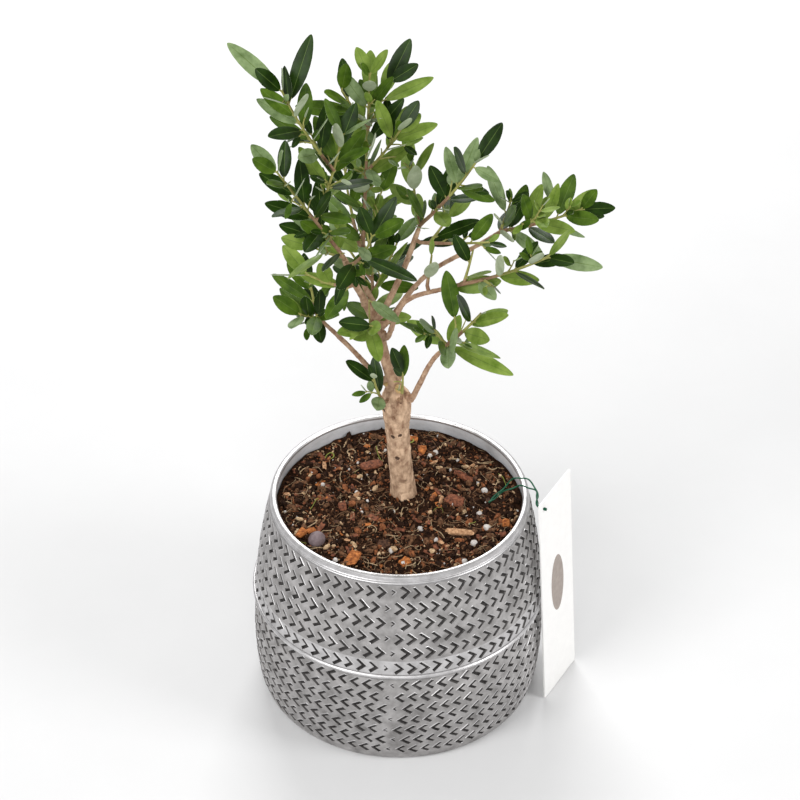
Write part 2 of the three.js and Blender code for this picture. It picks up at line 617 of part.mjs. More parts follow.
// The wire tie rises out of the soil, crosses the rim and ends in the card's hole.
const holeCentre = TAG_CORNER.clone()
  .addScaledVector(alongFoot, HOLE_INSET).addScaledVector(upCard, TAG_HEIGHT - HOLE_INSET);
const tieRoute = new THREE.CatmullRomCurve3([
  vector(47, 1, SOIL_LEVEL + TIE_RADIUS + GAP), vector(52, 4, SOIL_LEVEL + 3), vector(60, 4, POT_HEIGHT),
  vector(67, 1, POT_HEIGHT + 3), vector(72, -4, POT_HEIGHT + 4),
  holeCentre.clone().addScaledVector(cardFace, -3).add(vector(0, 0, 1)),
  holeCentre.clone().addScaledVector(cardFace, 2.4),
]);
const TIE_SIDES = 5;
const TIE_STEPS = 20;
const tieSection = new THREE.Shape();
for (let i = 0; i < TIE_SIDES; i++) {
  const turn = 2 * Math.PI * i / TIE_SIDES;
  tieSection[i ? 'lineTo' : 'moveTo'](TIE_RADIUS * Math.cos(turn), TIE_RADIUS * Math.sin(turn));
}
tieSection.closePath();
addPiece('label_tie', new THREE.ExtrudeGeometry(tieSection, {
  extrudePath: tieRoute, steps: TIE_STEPS, bevelEnabled: false,
}), COLOURS.tie, 0.7);

export default root;
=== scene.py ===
import itertools
import math
import random

import bpy
import numpy as np
from mathutils import Matrix, Vector


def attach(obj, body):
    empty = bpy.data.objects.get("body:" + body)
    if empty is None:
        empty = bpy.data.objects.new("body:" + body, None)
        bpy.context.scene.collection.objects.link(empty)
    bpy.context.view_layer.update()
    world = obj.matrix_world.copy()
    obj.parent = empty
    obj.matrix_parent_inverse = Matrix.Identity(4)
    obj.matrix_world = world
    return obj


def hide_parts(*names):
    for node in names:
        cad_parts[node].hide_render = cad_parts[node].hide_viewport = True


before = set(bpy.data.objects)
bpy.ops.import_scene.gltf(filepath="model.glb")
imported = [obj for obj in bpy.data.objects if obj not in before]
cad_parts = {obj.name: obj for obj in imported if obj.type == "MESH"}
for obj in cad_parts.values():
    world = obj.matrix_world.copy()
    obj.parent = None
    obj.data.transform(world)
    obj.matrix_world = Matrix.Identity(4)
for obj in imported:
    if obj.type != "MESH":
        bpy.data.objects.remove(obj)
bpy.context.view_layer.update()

# ------------------------------------------------------------------------------ planter
# A round pot in cast ware with a silver finish, 136 mm across the rim and 156 mm at the lip
# that runs round its middle. Chevrons are cut into the wall, pointing one way above the lip
# and back below it, and a dark wash is left in the cuts.
MM = 0.001
COLUMNS = 72                     # chevrons in a row
POT_HEIGHT = 123.8
LIP_HEIGHT = 63.4
BAND_FOOT = (76.0, 72.0)         # radius and height where the upper wall starts to flare
BAND_HEAD = (68.4, 120.0)
BAND_BULGE = 0.9
BAND_FLARE, FLARE_POWER = 1.3, 1.6       # how the upper wall runs out to the lip
# Rows of chevrons: the lowest one's height, from one row to the next, how many, how tall each
# is, where its first chevron stands and how far on the next row's does, in chevrons.
UPPER_ROWS = (68.5, 9.2, 6, 8.3, 0.625, 0.5)
LOWER_ROWS = (9.6, 7.7, 7, 7.2, 0.75, 0.375)
CUT_DEPTH = 0.85
FLOOR_INSET = 0.17               # how far a cut's sides lean in, as a share of its width
SEAM_HEADING = -93.5             # where the mould parts: the cuts are worn away there
SEAM_REACH, SEAM_WEAR = 2.6, 0.45    # degrees to each side of it, and the share left of a cut
CUT_MIDDLE = (0.47, 0.5)         # the spot in its cell that a chevron grows or shrinks about
CUT_SIZES, CUT_DEPTHS, CUT_SLIP = (0.86, 1.04), (0.6, 1.1), 0.08     # how far chance moves them
CORNER_SLIPS = ((-0.05, 0.02), (-0.03, 0.03))    # and each corner, along the row and up it
CELL_LIMITS = (0.985, 0.012, 0.988)      # how near a burr comes to its cell's rim
# A chevron's outline in its own cell, and how its cell's rim is joined to it.
CHEVRON = ((0.26, 0.96), (0.93, 0.50), (0.26, 0.04), (0.03, 0.17), (0.55, 0.50), (0.03, 0.83))
CELL_FACES = ("TL 6 TM", "TM 6 7", "TM 7 TR", "TR 7 RM", "RM 7 BR", "BR 7 BM", "BM 7 8",
              "BM 8 BL", "BL 8 3", "BL 3 LM", "LM 3 4", "LM 4 5", "LM 5 TL", "TL 5 6")
# The burr thrown up along a cut's outer edge: its reach beyond the edge in the cell, its faces
# and how far it stands out. Its faces are painted with a bright highlight.
BURR = ((0.015, 0.055), (0.09, 0.0), (0.015, -0.055))
BURR_FACES = ("0 1 7 6", "1 2 8 7", "5 0 6", "3 8 2")
BURR_HEIGHT = 0.28
# The turned forms, as radii and heights: foot, lower wall, lip, and the rim with the inner wall.
FOOT_RECESS, RECESS_RADIUS, INNER_FLOOR = 0.8, 66.0, 5
FOOT = ((67.2, 0.0), (70.4, 0.0), (72.0, 1.0), (73.0, 2.6), (73.5, 4.4))
LOWER_WALL = ((70.4, 0), (72.2, 1.2), (73.2, 3), (74.6, 8), (75.9, 16), (76.8, 26), (77.2, 38),
              (76.8, 50), (75.4, 60.5))
LIP = ((75.3, 60.1), (74.9, 60.8), (75.6, 61.2), (77.0, 61.3), (77.8, 61.8), (78.2, 62.6),
       (78.15, 63.4), (77.6, 64.0), (76.6, 64.2))
RIM = ((68.55, 119.4), (68.2, 119.8), (68.45, 120.2), (68.5, 120.9), (68.15, 121.2),
       (68.4, 121.6), (68.35, 122.4), (67.9, 123.2), (67.1, 123.7), (66.3, POT_HEIGHT),
       (65.5, 123.6), (64.95, 123.0), (64.8, 122.0), (65.0, 119.0), (65.8, 114.0),
       (67.4, 104.0), (72.6, 72.0), (72.2, 54.0), (72.2, 19.0), (66.8, INNER_FLOOR))
LIP_EDGE = 76                    # the radius past which the lip is painted with a bright highlight
RIM_FOOT, HIDDEN_BELOW = 119, 100    # the foot of the rim's painted highlight, and what the soil hides
# The pot's finishes: plain silver, the cuts' sides and floor in the dark wash, a painted highlight, and
# painted light on the inner wall.
SILVER, CUT_SIDE, CUT_FLOOR, PAINTED_GLINT, LIT_INNER = range(5)


def new_mesh(name, points, faces, materials, finish=None, crease=None):
    """A piece from points in millimetres; crease is the angle over which an edge stays sharp."""
    mesh = bpy.data.meshes.new(name)
    mesh.from_pydata((np.asarray(points, float) * MM).tolist(), [], faces)
    for material in materials:
        mesh.materials.append(material)
    if finish is not None:
        mesh.polygons.foreach_set("material_index", finish)
    if crease is not None:
        mesh.shade_smooth()
        mesh.set_sharp_from_angle(angle=math.radians(crease))
    mesh.update()
    piece = bpy.data.objects.new(name, mesh)
    bpy.context.scene.collection.objects.link(piece)
    return piece


def fill(node, values):
    for name, value in values.items():
        node.inputs[name].default_value = value


def mottle_group():
    """Two colours mixed by soft blotches, and the relief of the same blotches."""
    group = bpy.data.node_groups.new("mottle", "ShaderNodeTree")
    inputs = {"Light": "Color", "Dark": "Color", "Fineness": "Float", "Stretch": "Vector",
              "Dark share": "Float", "Light share": "Float"}
    outputs = {"Colour": "Color", "Relief": "Float", "Roughness": "Float"}
    for way, sockets in (("INPUT", inputs), ("OUTPUT", outputs)):
        for name, kind in sockets.items():
            group.interface.new_socket(name, in_out=way, socket_type="NodeSocket" + kind)
    kinds = ("NodeGroupInput", "ShaderNodeTexCoord", "ShaderNodeVectorMath", "ShaderNodeTexNoise",
             "ShaderNodeMapRange", "ShaderNodeMix", "ShaderNodeMapRange", "NodeGroupOutput")
    given, place, stretch, noise, share, mix, rough, out = (group.nodes.new(kind) for kind in kinds)
    stretch.operation, mix.data_type = "MULTIPLY", "RGBA"
    fill(noise, {"Detail": 5, "Roughness": 0.6})
    fill(rough, {"To Min": 0.75, "To Max": 0.35})
    for giver, output, taker, socket in (
            (place, "Object", stretch, 0), (given, "Stretch", stretch, 1), (stretch, 0, noise, "Vector"),
            (given, "Fineness", noise, "Scale"), (noise, "Fac", share, "Value"),
            (given, "Dark share", share, "From Min"), (given, "Light share", share, "From Max"),
            (share, "Result", mix, "Factor"), (given, "Dark", mix, "A"), (given, "Light", mix, "B"),
            (mix, "Result", out, "Colour"), (noise, "Fac", out, "Relief"), (noise, "Fac", rough, "Value"),
            (rough, "Result", out, "Roughness")):
        group.links.new(giver.outputs[output], taker.inputs[socket])
    return group


MOTTLE = mottle_group()


def finish_of(name, light, dark, blotch, bump=0.3, depth=0.1, stretch=(1, 1, 1), share=0.35,
              light_share=0.75, roughness=None, metal=0.0, gloss=0.3):
    """A finish whose blotches are blotch mm across and depth mm deep."""
    material = bpy.data.materials.new(name)
    material.use_nodes = True
    nodes, link = material.node_tree.nodes, material.node_tree.links.new
    shader, mottle = nodes["Principled BSDF"], nodes.new("ShaderNodeGroup")
    relief = nodes.new("ShaderNodeBump")
    mottle.node_tree = MOTTLE
    fill(shader, {"Metallic": metal, "Specular IOR Level": gloss})
    fill(mottle, {"Light": (*light, 1), "Dark": (*dark, 1), "Fineness": 1 / (blotch * MM),
                  "Stretch": stretch, "Dark share": share, "Light share": light_share})
    fill(relief, {"Strength": bump, "Distance": depth * MM})
    link(mottle.outputs["Colour"], shader.inputs["Base Color"])
    link(mottle.outputs["Relief"], relief.inputs["Height"])
    link(relief.outputs["Normal"], shader.inputs["Normal"])
    if roughness is None:
        link(mottle.outputs["Roughness"], shader.inputs["Roughness"])
    else:
        shader.inputs["Roughness"].default_value = roughness
    return material


def wall_radius(z):
    """The pot's outer radius at a height."""
    (foot, low), (head, high) = BAND_FOOT, BAND_HEAD
    if z >= low:
        up = (z - low) / (high - low)
        return foot + (head - foot) * up + 4 * BAND_BULGE * up * (1 - up)
    if z >= LIP_HEIGHT:
        return foot + BAND_FLARE * ((low - z) / (low - LIP_HEIGHT)) ** FLARE_POWER
    radii, heights = zip(*LOWER_WALL)
    return float(np.interp(z, heights, radii))


pot_points, pot_faces, pot_finish = [], [], []


def pot_point(radius, z, turn):
    angle = 2 * math.pi * turn / COLUMNS
    pot_points.append((radius * math.cos(angle), radius * math.sin(angle), z))
    return len(pot_points) - 1


def pot_ring(radius, z, phase=0.0):
    return [pot_point(radius, z, phase + k / 2) for k in range(2 * COLUMNS)]


def pot_band(lower, upper, finish=SILVER):
    for k in range(len(lower)):
        after = (k + 1) % len(lower)
        pot_faces.append((lower[k], lower[after], upper[after], upper[k]))
        pot_finish.append(finish)


def chevron_row(middle, height, phase, pointing, dice, plain=SILVER):
    """A ring of cells with a chevron cut in each; gives its lowest and highest ring."""
    low, high = middle - height / 2, middle + height / 2
    bottom, top = (pot_ring(wall_radius(z), z, phase) for z in (low, high))
    waist = [pot_point(wall_radius(middle), middle, phase + k) for k in range(COLUMNS)]
    for k in range(COLUMNS):
        after = (k + 1) % COLUMNS
        rim = {"BL": bottom[2 * k], "BM": bottom[2 * k + 1], "BR": bottom[2 * after],
               "TL": top[2 * k], "TM": top[2 * k + 1], "TR": top[2 * after],
               "LM": waist[k], "RM": waist[after]}
        if pointing < 0:
            rim = {name.translate(str.maketrans("LR", "RL")): at for name, at in rim.items()}
        heading = (phase + k + 0.5) * 360 / COLUMNS
        from_seam = abs((heading - SEAM_HEADING + 180) % 360 - 180)
        worn = 1.0 if from_seam > SEAM_REACH else SEAM_WEAR
        size = worn * dice.uniform(*CUT_SIZES)
        depth = CUT_DEPTH * worn * dice.uniform(*CUT_DEPTHS)
        slip = dice.uniform(-CUT_SLIP, CUT_SLIP)
        mid_u, mid_v = CUT_MIDDLE
        outline = [(mid_u + size * (u - mid_u) + dice.uniform(*CORNER_SLIPS[0]),
                    mid_v + size * (v - mid_v) + slip * u + dice.uniform(*CORNER_SLIPS[1]))
                   for u, v in CHEVRON]
        right, low_v, high_v = CELL_LIMITS
        burr = [(min(u + out, right), min(max(v + up, low_v), high_v))
                for (u, v), (out, up) in zip(outline, BURR)]
        floor = []
        for i, (u, v) in enumerate(outline):
            partner = outline[5 - i]
            floor.append((u + FLOOR_INSET * (partner[0] - u), v + FLOOR_INSET * (partner[1] - v)))

        def cut_point(spot, sunk):
            u, v = spot
            along = u if pointing > 0 else 1 - u
            z = low + height * v
            return pot_point(wall_radius(z) - sunk, z, phase + k + along)

        proud = BURR_HEIGHT * worn * dice.uniform(*CUT_DEPTHS)
        edge = [cut_point(spot, -proud if i < 3 else 0.0) for i, spot in enumerate(outline)]
        edge += [cut_point(spot, 0.0) for spot in burr]
        deep = [cut_point(spot, depth) for spot in floor]
        faces = [[rim[c] if c in rim else edge[int(c)] for c in face.split()]
                 for face in (*CELL_FACES, *BURR_FACES)]
        faces += [[edge[i], deep[i], deep[(i + 1) % 6], edge[(i + 1) % 6]] for i in range(6)]
        faces += [[deep[0], deep[5], deep[4], deep[1]], [deep[1], deep[4], deep[3], deep[2]]]
        pot_faces.extend(face if pointing > 0 else face[::-1] for face in faces)
        # Burr faces take the painted highlight; the cut's sides and floor take the dark wash.
        pot_finish.extend([plain] * len(CELL_FACES) + [PAINTED_GLINT] * len(BURR_FACES)
                          + [CUT_SIDE] * 6 + [CUT_FLOOR] * 2)
    return bottom, top


def pot_fan(centre, ring):
    """Closes a ring about its centre."""
    for k in range(len(ring)):
        pot_faces.append((centre, ring[k], ring[(k + 1) % len(ring)]))
        pot_finish.append(SILVER)


def turned(ring, profile, phase, finish):
    """Carries the skin on from a ring through a turned form, and gives its last ring."""
    for radius, z in profile:
        upper = pot_ring(radius, z, phase)
        pot_band(ring, upper, finish(radius, z))
        ring = upper
    return ring


def chevron_rows(ring, rows, pointing, dice, lowest=SILVER):
    """Carries the skin on from a ring through rows of chevrons, and gives its last ring."""
    first, pitch, count, tall, phase, step = rows
    for number in range(count):
        bottom, top = chevron_row(first + pitch * number, tall, phase + step * number, pointing, dice,
                                  SILVER if number else lowest)
        pot_band(ring, bottom)
        ring = top
    return ring


dice = random.Random(31)
centre = pot_point(0, FOOT_RECESS, 0)
ring = pot_ring(RECESS_RADIUS, FOOT_RECESS)
pot_fan(centre, ring[::-1])
ring = turned(ring, FOOT, 0.0, lambda radius, z: SILVER)
ring = chevron_rows(ring, LOWER_ROWS, -1, dice)
# Past LIP_EDGE the lip's bead is painted with a bright highlight, and so are the plain cells of the upper
# wall's lowest row, on the flare.
ring = turned(ring, LIP, 0.2, lambda radius, z: SILVER if radius < LIP_EDGE else PAINTED_GLINT)
ring = chevron_rows(ring, UPPER_ROWS, 1, dice, PAINTED_GLINT)
# Above RIM_FOOT the rim is painted with a bright highlight.
ring = turned(ring, RIM, 0.1,
              lambda radius, z: PAINTED_GLINT if z > RIM_FOOT else LIT_INNER if z > HIDDEN_BELOW else SILVER)
pot_fan(pot_point(0, INNER_FLOOR, 0), ring)

silver = finish_of("silver_finish", (0.49, 0.475, 0.47), (0.26, 0.25, 0.245), 9, 0.35, 0.12, share=0.3,
                   light_share=0.65, metal=0.75)
cut_side = finish_of("cut_side", (0.22, 0.21, 0.205), (0.05, 0.047, 0.045), 4, 0.4, 0.1, metal=0.5)
cut_floor = finish_of("dark_wash", (0.065, 0.06, 0.058), (0.018, 0.016, 0.015), 3, 0.5, 0.1, metal=0.1)
# A brighter, glossier silver: the painted highlight on the lip's bead, the flare, the rim and the burrs.
glint_silver = finish_of("painted_glint_silver", (0.68, 0.67, 0.675), (0.44, 0.43, 0.43), 6, 0.3, 0.08, share=0.3,
                   roughness=0.4, metal=0.75)
# The same silver inside, given near white, barely metallic and a little blue: painted light on the inner
# wall above the soil.
lit_inner_silver = finish_of("lit_inner_silver", (0.82, 0.83, 0.86), (0.6, 0.605, 0.62), 12, 0.3, 0.1,
                         roughness=0.5, metal=0.15)
planter = new_mesh("planter", pot_points, pot_faces, (silver, cut_side, cut_floor, glint_silver, lit_inner_silver),
                   pot_finish, 28)
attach(planter, "root")
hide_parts("pot")

# --------------------------------------------------------------------------- potting mix
# Loose bark-based compost to just under the rim: dark crumbs, red-brown bark chips, white
# perlite, pale root fibres and one round stone. It is poured in and firmed round the trunk.
SOIL_LEVEL = 116.2
SOIL_MOUND = 1.3
SOIL_RADIUS = 65.1
SOIL_RELIEF = ((1.5, 13, 1), (1.0, 5, 2), (0.6, 2.2, 3))     # height, size and seed of its lumps
SOIL_UNDERSIDE = ((SOIL_RADIUS, 111.5), (60.0, 108.0))
TRUNK_FOOT = (2, 8)
BANK_SPOT, BANK_WIDTH, BANK_HEIGHT = (2.5, 4), 9, 2.2        # firmed up before the trunk
LOOSE_RADIUS = 63.0              # the loose bits keep within this
CRUMBS, LUMPS, SMALL_CHIPS, SMALL_GRAINS, FIBRES = 6500, 420, 260, 80, 420


def lumps(points, size, seed):
    """Smooth random relief from -1 to 1 at each point, with lumps about size mm across."""
    cells = np.asarray(points, float) / size
    base = np.floor(cells).astype(np.int64)
    t = cells - base
    t = t * t * (3 - 2 * t)
    total = np.zeros(len(cells))
    for corner in itertools.product((0, 1), repeat=3):
        key = base + corner
        mixed = (key * (73856093, 19349663, 83492791)).sum(1) + seed * 2654435761
        mixed = (mixed ^ (mixed >> 15)) * 2246822519 & 0xFFFFFFFF
        mixed = (mixed ^ (mixed >> 13)) * 3266489917 & 0xFFFFFFFF
        weight = np.where(corner, t, 1 - t).prod(1)
        total += weight * ((mixed ^ (mixed >> 16)) / 0x7FFFFFFF - 1)
    return total


def soil_height(xy):
    """The height of the soil at each (x, y)."""
    xy = np.asarray(xy, float)
    spots = np.column_stack([xy, np.zeros(len(xy))])
    away = np.hypot(xy[:, 0], xy[:, 1]) / SOIL_RADIUS
    rough = sum(height * lumps(spots, size, seed) for height, size, seed in SOIL_RELIEF)
    bank = np.exp(-(np.hypot(xy[:, 0] - BANK_SPOT[0], xy[:, 1] - BANK_SPOT[1]) / BANK_WIDTH) ** 2)
    firmed = (1 - 0.4 * away ** 4) * (1 - 0.7 * bank)
    return SOIL_LEVEL - SOIL_MOUND * away ** 2 + rough * firmed + BANK_HEIGHT * bank


SOIL_RINGS, SOIL_SPOKES = 66, 280
soil_points = [(0, 0, float(soil_height([(0, 0)])[0]))]
turns = np.arange(SOIL_SPOKES) * 2 * math.pi / SOIL_SPOKES
for i in range(1, SOIL_RINGS + 1):
    radius = SOIL_RADIUS * i / SOIL_RINGS
    xy = np.column_stack([radius * np.cos(turns), radius * np.sin(turns)])
    soil_points.extend(np.column_stack([xy, soil_height(xy)]).tolist())
for radius, z in SOIL_UNDERSIDE:
    soil_points.extend([(radius * math.cos(a), radius * math.sin(a), z) for a in turns])
soil_faces = []
for k in range(SOIL_SPOKES):
    after = (k + 1) % SOIL_SPOKES
    soil_faces.append((0, 1 + k, 1 + after))
    for i in range(SOIL_RINGS + 1):
        inner, outer = 1 + i * SOIL_SPOKES, 1 + (i + 1) * SOIL_SPOKES
        soil_faces.append((inner + k, outer + k, outer + after, inner + after))
soil_faces.append([1 + (SOIL_RINGS + 1) * SOIL_SPOKES + k for k in reversed(range(SOIL_SPOKES))])

earth = finish_of("earth", (0.06, 0.027, 0.014), (0.007, 0.003, 0.002), 1.8, bump=1.0, depth=0.6,
                  roughness=0.95, gloss=0.05)
soil_bed = new_mesh("soil_bed", soil_points, soil_faces, (earth,), crease=60)
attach(soil_bed, "root")
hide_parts("soil")

GOLDEN = (1 + math.sqrt(5)) / 2
BALL_POINTS = np.array([(-1, GOLDEN, 0), (1, GOLDEN, 0), (-1, -GOLDEN, 0), (1, -GOLDEN, 0),
                        (0, -1, GOLDEN), (0, 1, GOLDEN), (0, -1, -GOLDEN), (0, 1, -GOLDEN),
                        (GOLDEN, 0, -1), (GOLDEN, 0, 1), (-GOLDEN, 0, -1), (-GOLDEN, 0, 1)], float)
BALL_POINTS /= np.linalg.norm(BALL_POINTS[0])
BALL_FACES = [(0, 11, 5), (0, 5, 1), (0, 1, 7), (0, 7, 10), (0, 10, 11), (1, 5, 9), (5, 11, 4),
              (11, 10, 2), (10, 7, 6), (7, 1, 8), (3, 9, 4), (3, 4, 2), (3, 2, 6), (3, 6, 8),
              (3, 8, 9), (4, 9, 5), (2, 4, 11), (6, 2, 10), (8, 6, 7), (9, 8, 1)]


def rounder(points, faces):
    """A ball with each face cut in four."""
    points, halves, new = list(map(tuple, points)), {}, []

    def half(a, b):
        key = (min(a, b), max(a, b))
        if key not in halves:
            middle = np.add(points[a], points[b])
            points.append(tuple(middle / np.linalg.norm(middle)))
            halves[key] = len(points) - 1
        return halves[key]

    for a, b, c in faces:
        ab, bc, ca = half(a, b), half(b, c), half(c, a)
        new += [(a, ab, ca), (b, bc, ab), (c, ca, bc), (ab, bc, ca)]
    return np.array(points), new


ROUND_POINTS, ROUND_FACES = rounder(BALL_POINTS, BALL_FACES)


def turned_any_way(rng, flat=0.0):
    """A random turn; the flatter it is, the nearer to lying level."""
    tilt = (1 - flat) * math.pi * rng.random() + flat * rng.normal(0, 0.25)
    spin = Matrix.Rotation(2 * math.pi * rng.random(), 3, "Z")
    lean = Matrix.Rotation(tilt, 3, "X")
    first = Matrix.Rotation(2 * math.pi * rng.random(), 3, "Z")
    return np.array(first @ lean @ spin)


class Heap:
    """Loose bits gathered into one piece."""

    def __init__(self):
        self.points, self.faces, self.finish, self.count = [], [], [], 0

    def add(self, points, faces, finish):
        """Adds a bit; finish is its number, or one for each face."""
        self.faces.extend([tuple(i + self.count for i in face) for face in faces])
        self.points.append(points)
        self.finish.extend(finish if isinstance(finish, list) else [finish] * len(faces))
        self.count += len(points)

    def piece(self, name, materials, slot, crease):
        made = new_mesh(name, np.concatenate(self.points), self.faces, materials, self.finish, crease)
        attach(made, "root")
        return made


rng = np.random.default_rng(7)


def anywhere_on_soil(keep_clear):
    """A random spot on the soil, clear of the trunk."""
    while True:
        radius, angle = LOOSE_RADIUS * math.sqrt(rng.random()), 2 * math.pi * rng.random()
        x, y = radius * math.cos(angle), radius * math.sin(angle)
        if math.hypot(x - TRUNK_FOOT[0], y - TRUNK_FOOT[1]) > keep_clear:
            return x, y


def rest_on_soil(x, y, lift):
    return np.array([x, y, float(soil_height([(x, y)])[0]) + lift])


def clod(spot, size, squash, ball=(BALL_POINTS, BALL_FACES), jag=0.34, stretch=0.5):
    """A bit made from a ball: jag roughens it and stretch makes it longer and narrower."""
    points, faces = ball
    shape = points * (1 + jag * rng.normal(0, 1, (len(points), 1)).clip(-1.6, 1.6))
    long, narrow = rng.uniform(1, 1 + stretch), rng.uniform(1 - 1.1 * stretch, 1)
    shape = shape * (size * long, size * narrow, size * squash)
    return shape @ turned_any_way(rng).T + spot, faces


crumbs = Heap()
for _ in range(CRUMBS):
    x, y = anywhere_on_soil(6.8)
    size = 0.3 + 0.85 * rng.random() ** 2.6
    crumbs.add(*clod(rest_on_soil(x, y, 0.35 * size), size, rng.uniform(0.5, 0.9)),
               int(rng.choice(4, p=(0.5, 0.27, 0.15, 0.08))))
for _ in range(LUMPS):
    x, y = anywhere_on_soil(10)
    size = rng.uniform(1.1, 2.4)
    crumbs.add(*clod(rest_on_soil(x, y, 0.2 * size), size, rng.uniform(0.5, 0.8),
                     (ROUND_POINTS, ROUND_FACES), 0.12), int(rng.choice(4, p=(0.5, 0.3, 0.15, 0.05))))
# Names, light and dark colours, roughness and gloss.
CRUMB_LOOKS = (("dark_crumb", (0.045, 0.02, 0.011), (0.006, 0.003, 0.002), 0.9, 0.08),
               ("brown_crumb", (0.25, 0.125, 0.065), (0.035, 0.016, 0.008), 0.9, 0.1),
               ("red_crumb", (0.42, 0.16, 0.065), (0.08, 0.026, 0.012), 0.85, 0.1),
               ("tan_crumb", (0.78, 0.58, 0.37), (0.3, 0.18, 0.09), 0.85, 0.1))
crumb_finishes = [finish_of(name, light, dark, 1.2, 0.8, 0.3, roughness=roughness, gloss=gloss)
                  for name, light, dark, roughness, gloss in CRUMB_LOOKS]
crumbs.piece("soil_crumbs", crumb_finishes, "soil", 45)


CHIP_CORNERS = 12


def chip(spot, length, width, thickness, heading, tilt):
    """A torn flake of bark: a thin slab with a ragged edge and a worn, domed top."""
    turns = np.arange(CHIP_CORNERS) * 2 * math.pi / CHIP_CORNERS
    edge = np.column_stack([np.cos(turns), np.sin(turns)])
    edge = np.sign(edge) * np.abs(edge) ** 0.45 / 2 * rng.uniform(0.76, 1.02, (CHIP_CORNERS, 1))
    rings = [np.column_stack([edge * (length, width) * share, np.full(CHIP_CORNERS, height * thickness)])
             for share, height in ((0.0, 0.5), (0.55, 0.45), (0.9, 0.3), (1.0, 0.0), (0.8, -0.5))]
    for ring in rings[1:4]:
        ring[:, 2] += rng.normal(0, 0.1 * thickness, CHIP_CORNERS)
    heading = 2 * math.pi * rng.random() if heading is None else math.radians(heading)
    turn = Matrix.Rotation(heading, 3, "Z") @ Matrix.Rotation(rng.normal(0, tilt), 3, "Y")
    turn = turn @ Matrix.Rotation(rng.normal(0, tilt), 3, "X")
    points = np.vstack([rings[0][:1], *rings[1:]])
    faces = []
    for k in range(CHIP_CORNERS):
        after = (k + 1) % CHIP_CORNERS
        faces.append((0, 1 + k, 1 + after))
        for ring in range(3):
            low = 1 + ring * CHIP_CORNERS
            faces.append((low + k, low + CHIP_CORNERS + k, low + CHIP_CORNERS + after, low + after))
    faces.append(tuple(1 + 3 * CHIP_CORNERS + k for k in reversed(range(CHIP_CORNERS))))
    return points @ np.array(turn).T + spot, faces


# Chips that stand out: x, y, length, width, heading and finish.
LARGE_CHIPS = ((-24, -46, 13, 8.5, 70, 0), (-51, -26, 9, 5, 60, 0), (-46, -23, 6, 4, 20, 0),
               (32, -24, 18, 4, 5, 2), (-15, 31, 14, 9, 25, 1), (29, 1, 12, 8, 150, 1),
               (12, 45, 7, 5, 80, 0), (-8, -34, 8, 6, 10, 3), (3, -48, 7, 6, 40, 0),
               (34, 22, 12, 4, 140, 1), (56, -15, 6, 5, 90, 0), (-30, -6, 8, 5, 100, 1))
chips = Heap()
for x, y, length, width, heading, finish in LARGE_CHIPS:
    chips.add(*chip(rest_on_soil(x, y, 1.1), length, width, 2.4, heading, 0.1), finish)
for _ in range(SMALL_CHIPS):
    x, y = anywhere_on_soil(11)
    length = 2 + 6 * rng.random() ** 1.8
    shape = chip(rest_on_soil(x, y, 0.3), length, length * rng.uniform(0.3, 0.65),
                 rng.uniform(0.6, 1.4), None, 0.3)
    chips.add(*shape, int(rng.choice(4, p=(0.07, 0.38, 0.13, 0.42))))
CHIP_LOOKS = (("orange_bark", (0.66, 0.24, 0.07), (0.16, 0.045, 0.014), 1.6, 0.8, 0.1),
              ("red_bark", (0.34, 0.12, 0.06), (0.05, 0.017, 0.01), 1.6, 0.75, 0.15),
              ("tan_bark", (0.72, 0.44, 0.25), (0.26, 0.13, 0.065), 1.4, 0.85, 0.1),
              ("dark_bark", (0.15, 0.075, 0.045), (0.02, 0.01, 0.007), 1.6, 0.8, 0.12))
chip_finishes = [finish_of(name, light, dark, blotch, 0.9, 0.4, roughness=roughness, gloss=gloss)
                 for name, light, dark, blotch, roughness, gloss in CHIP_LOOKS]
chips.piece("bark_chips", chip_finishes, "soil", 30)

# Larger grains of perlite: x, y and radius.
LARGE_GRAINS = ((45, 12, 1.9), (46, -20, 2.1), (39, -31, 1.8), (42, -8, 1.6), (28, -1, 1.2),
                (16, 40, 1.5), (19, 43, 1.6), (34, -46, 1.7), (-33, -46, 1.6), (11, -22, 1.5),
                (19, -30, 1.4), (-4, -39, 1.7), (-41, 17, 1.3), (-46, 25, 1.4), (-23, 9, 1.1),
                (-3, -7, 1.0), (2, -49, 1.4), (-17, 2, 1.0))
perlite = Heap()
for x, y, size in LARGE_GRAINS:
    perlite.add(*clod(rest_on_soil(x, y, 0.5 * size), size, 0.85, (ROUND_POINTS, ROUND_FACES), 0.07,
                      0.12), 0)
for _ in range(SMALL_GRAINS):
    x, y = anywhere_on_soil(10)
    size = 0.3 + 0.8 * rng.random() ** 2.5
    perlite.add(*clod(rest_on_soil(x, y, 0.4 * size), size, 0.8, (ROUND_POINTS, ROUND_FACES), 0.09,
                      0.15), 0)
white_grain = finish_of("white_grain", (0.74, 0.71, 0.68), (0.4, 0.36, 0.33), 1.2, 0.6, 0.25, roughness=0.8)
perlite.piece("perlite", (white_grain,), "soil", 60)

STONE = (-43, -32, 4.6)
stone = Heap()
x, y, size = STONE
stone.add(*clod(rest_on_soil(x, y, 2), size, 0.85, rounder(ROUND_POINTS, ROUND_FACES), 0.012, 0.05), 0)
grey_stone = finish_of("grey_stone", (0.27, 0.21, 0.22), (0.13, 0.095, 0.1), 3, 0.4, 0.2, roughness=0.6)
stone.piece("round_stone", (grey_stone,), "soil", 60)


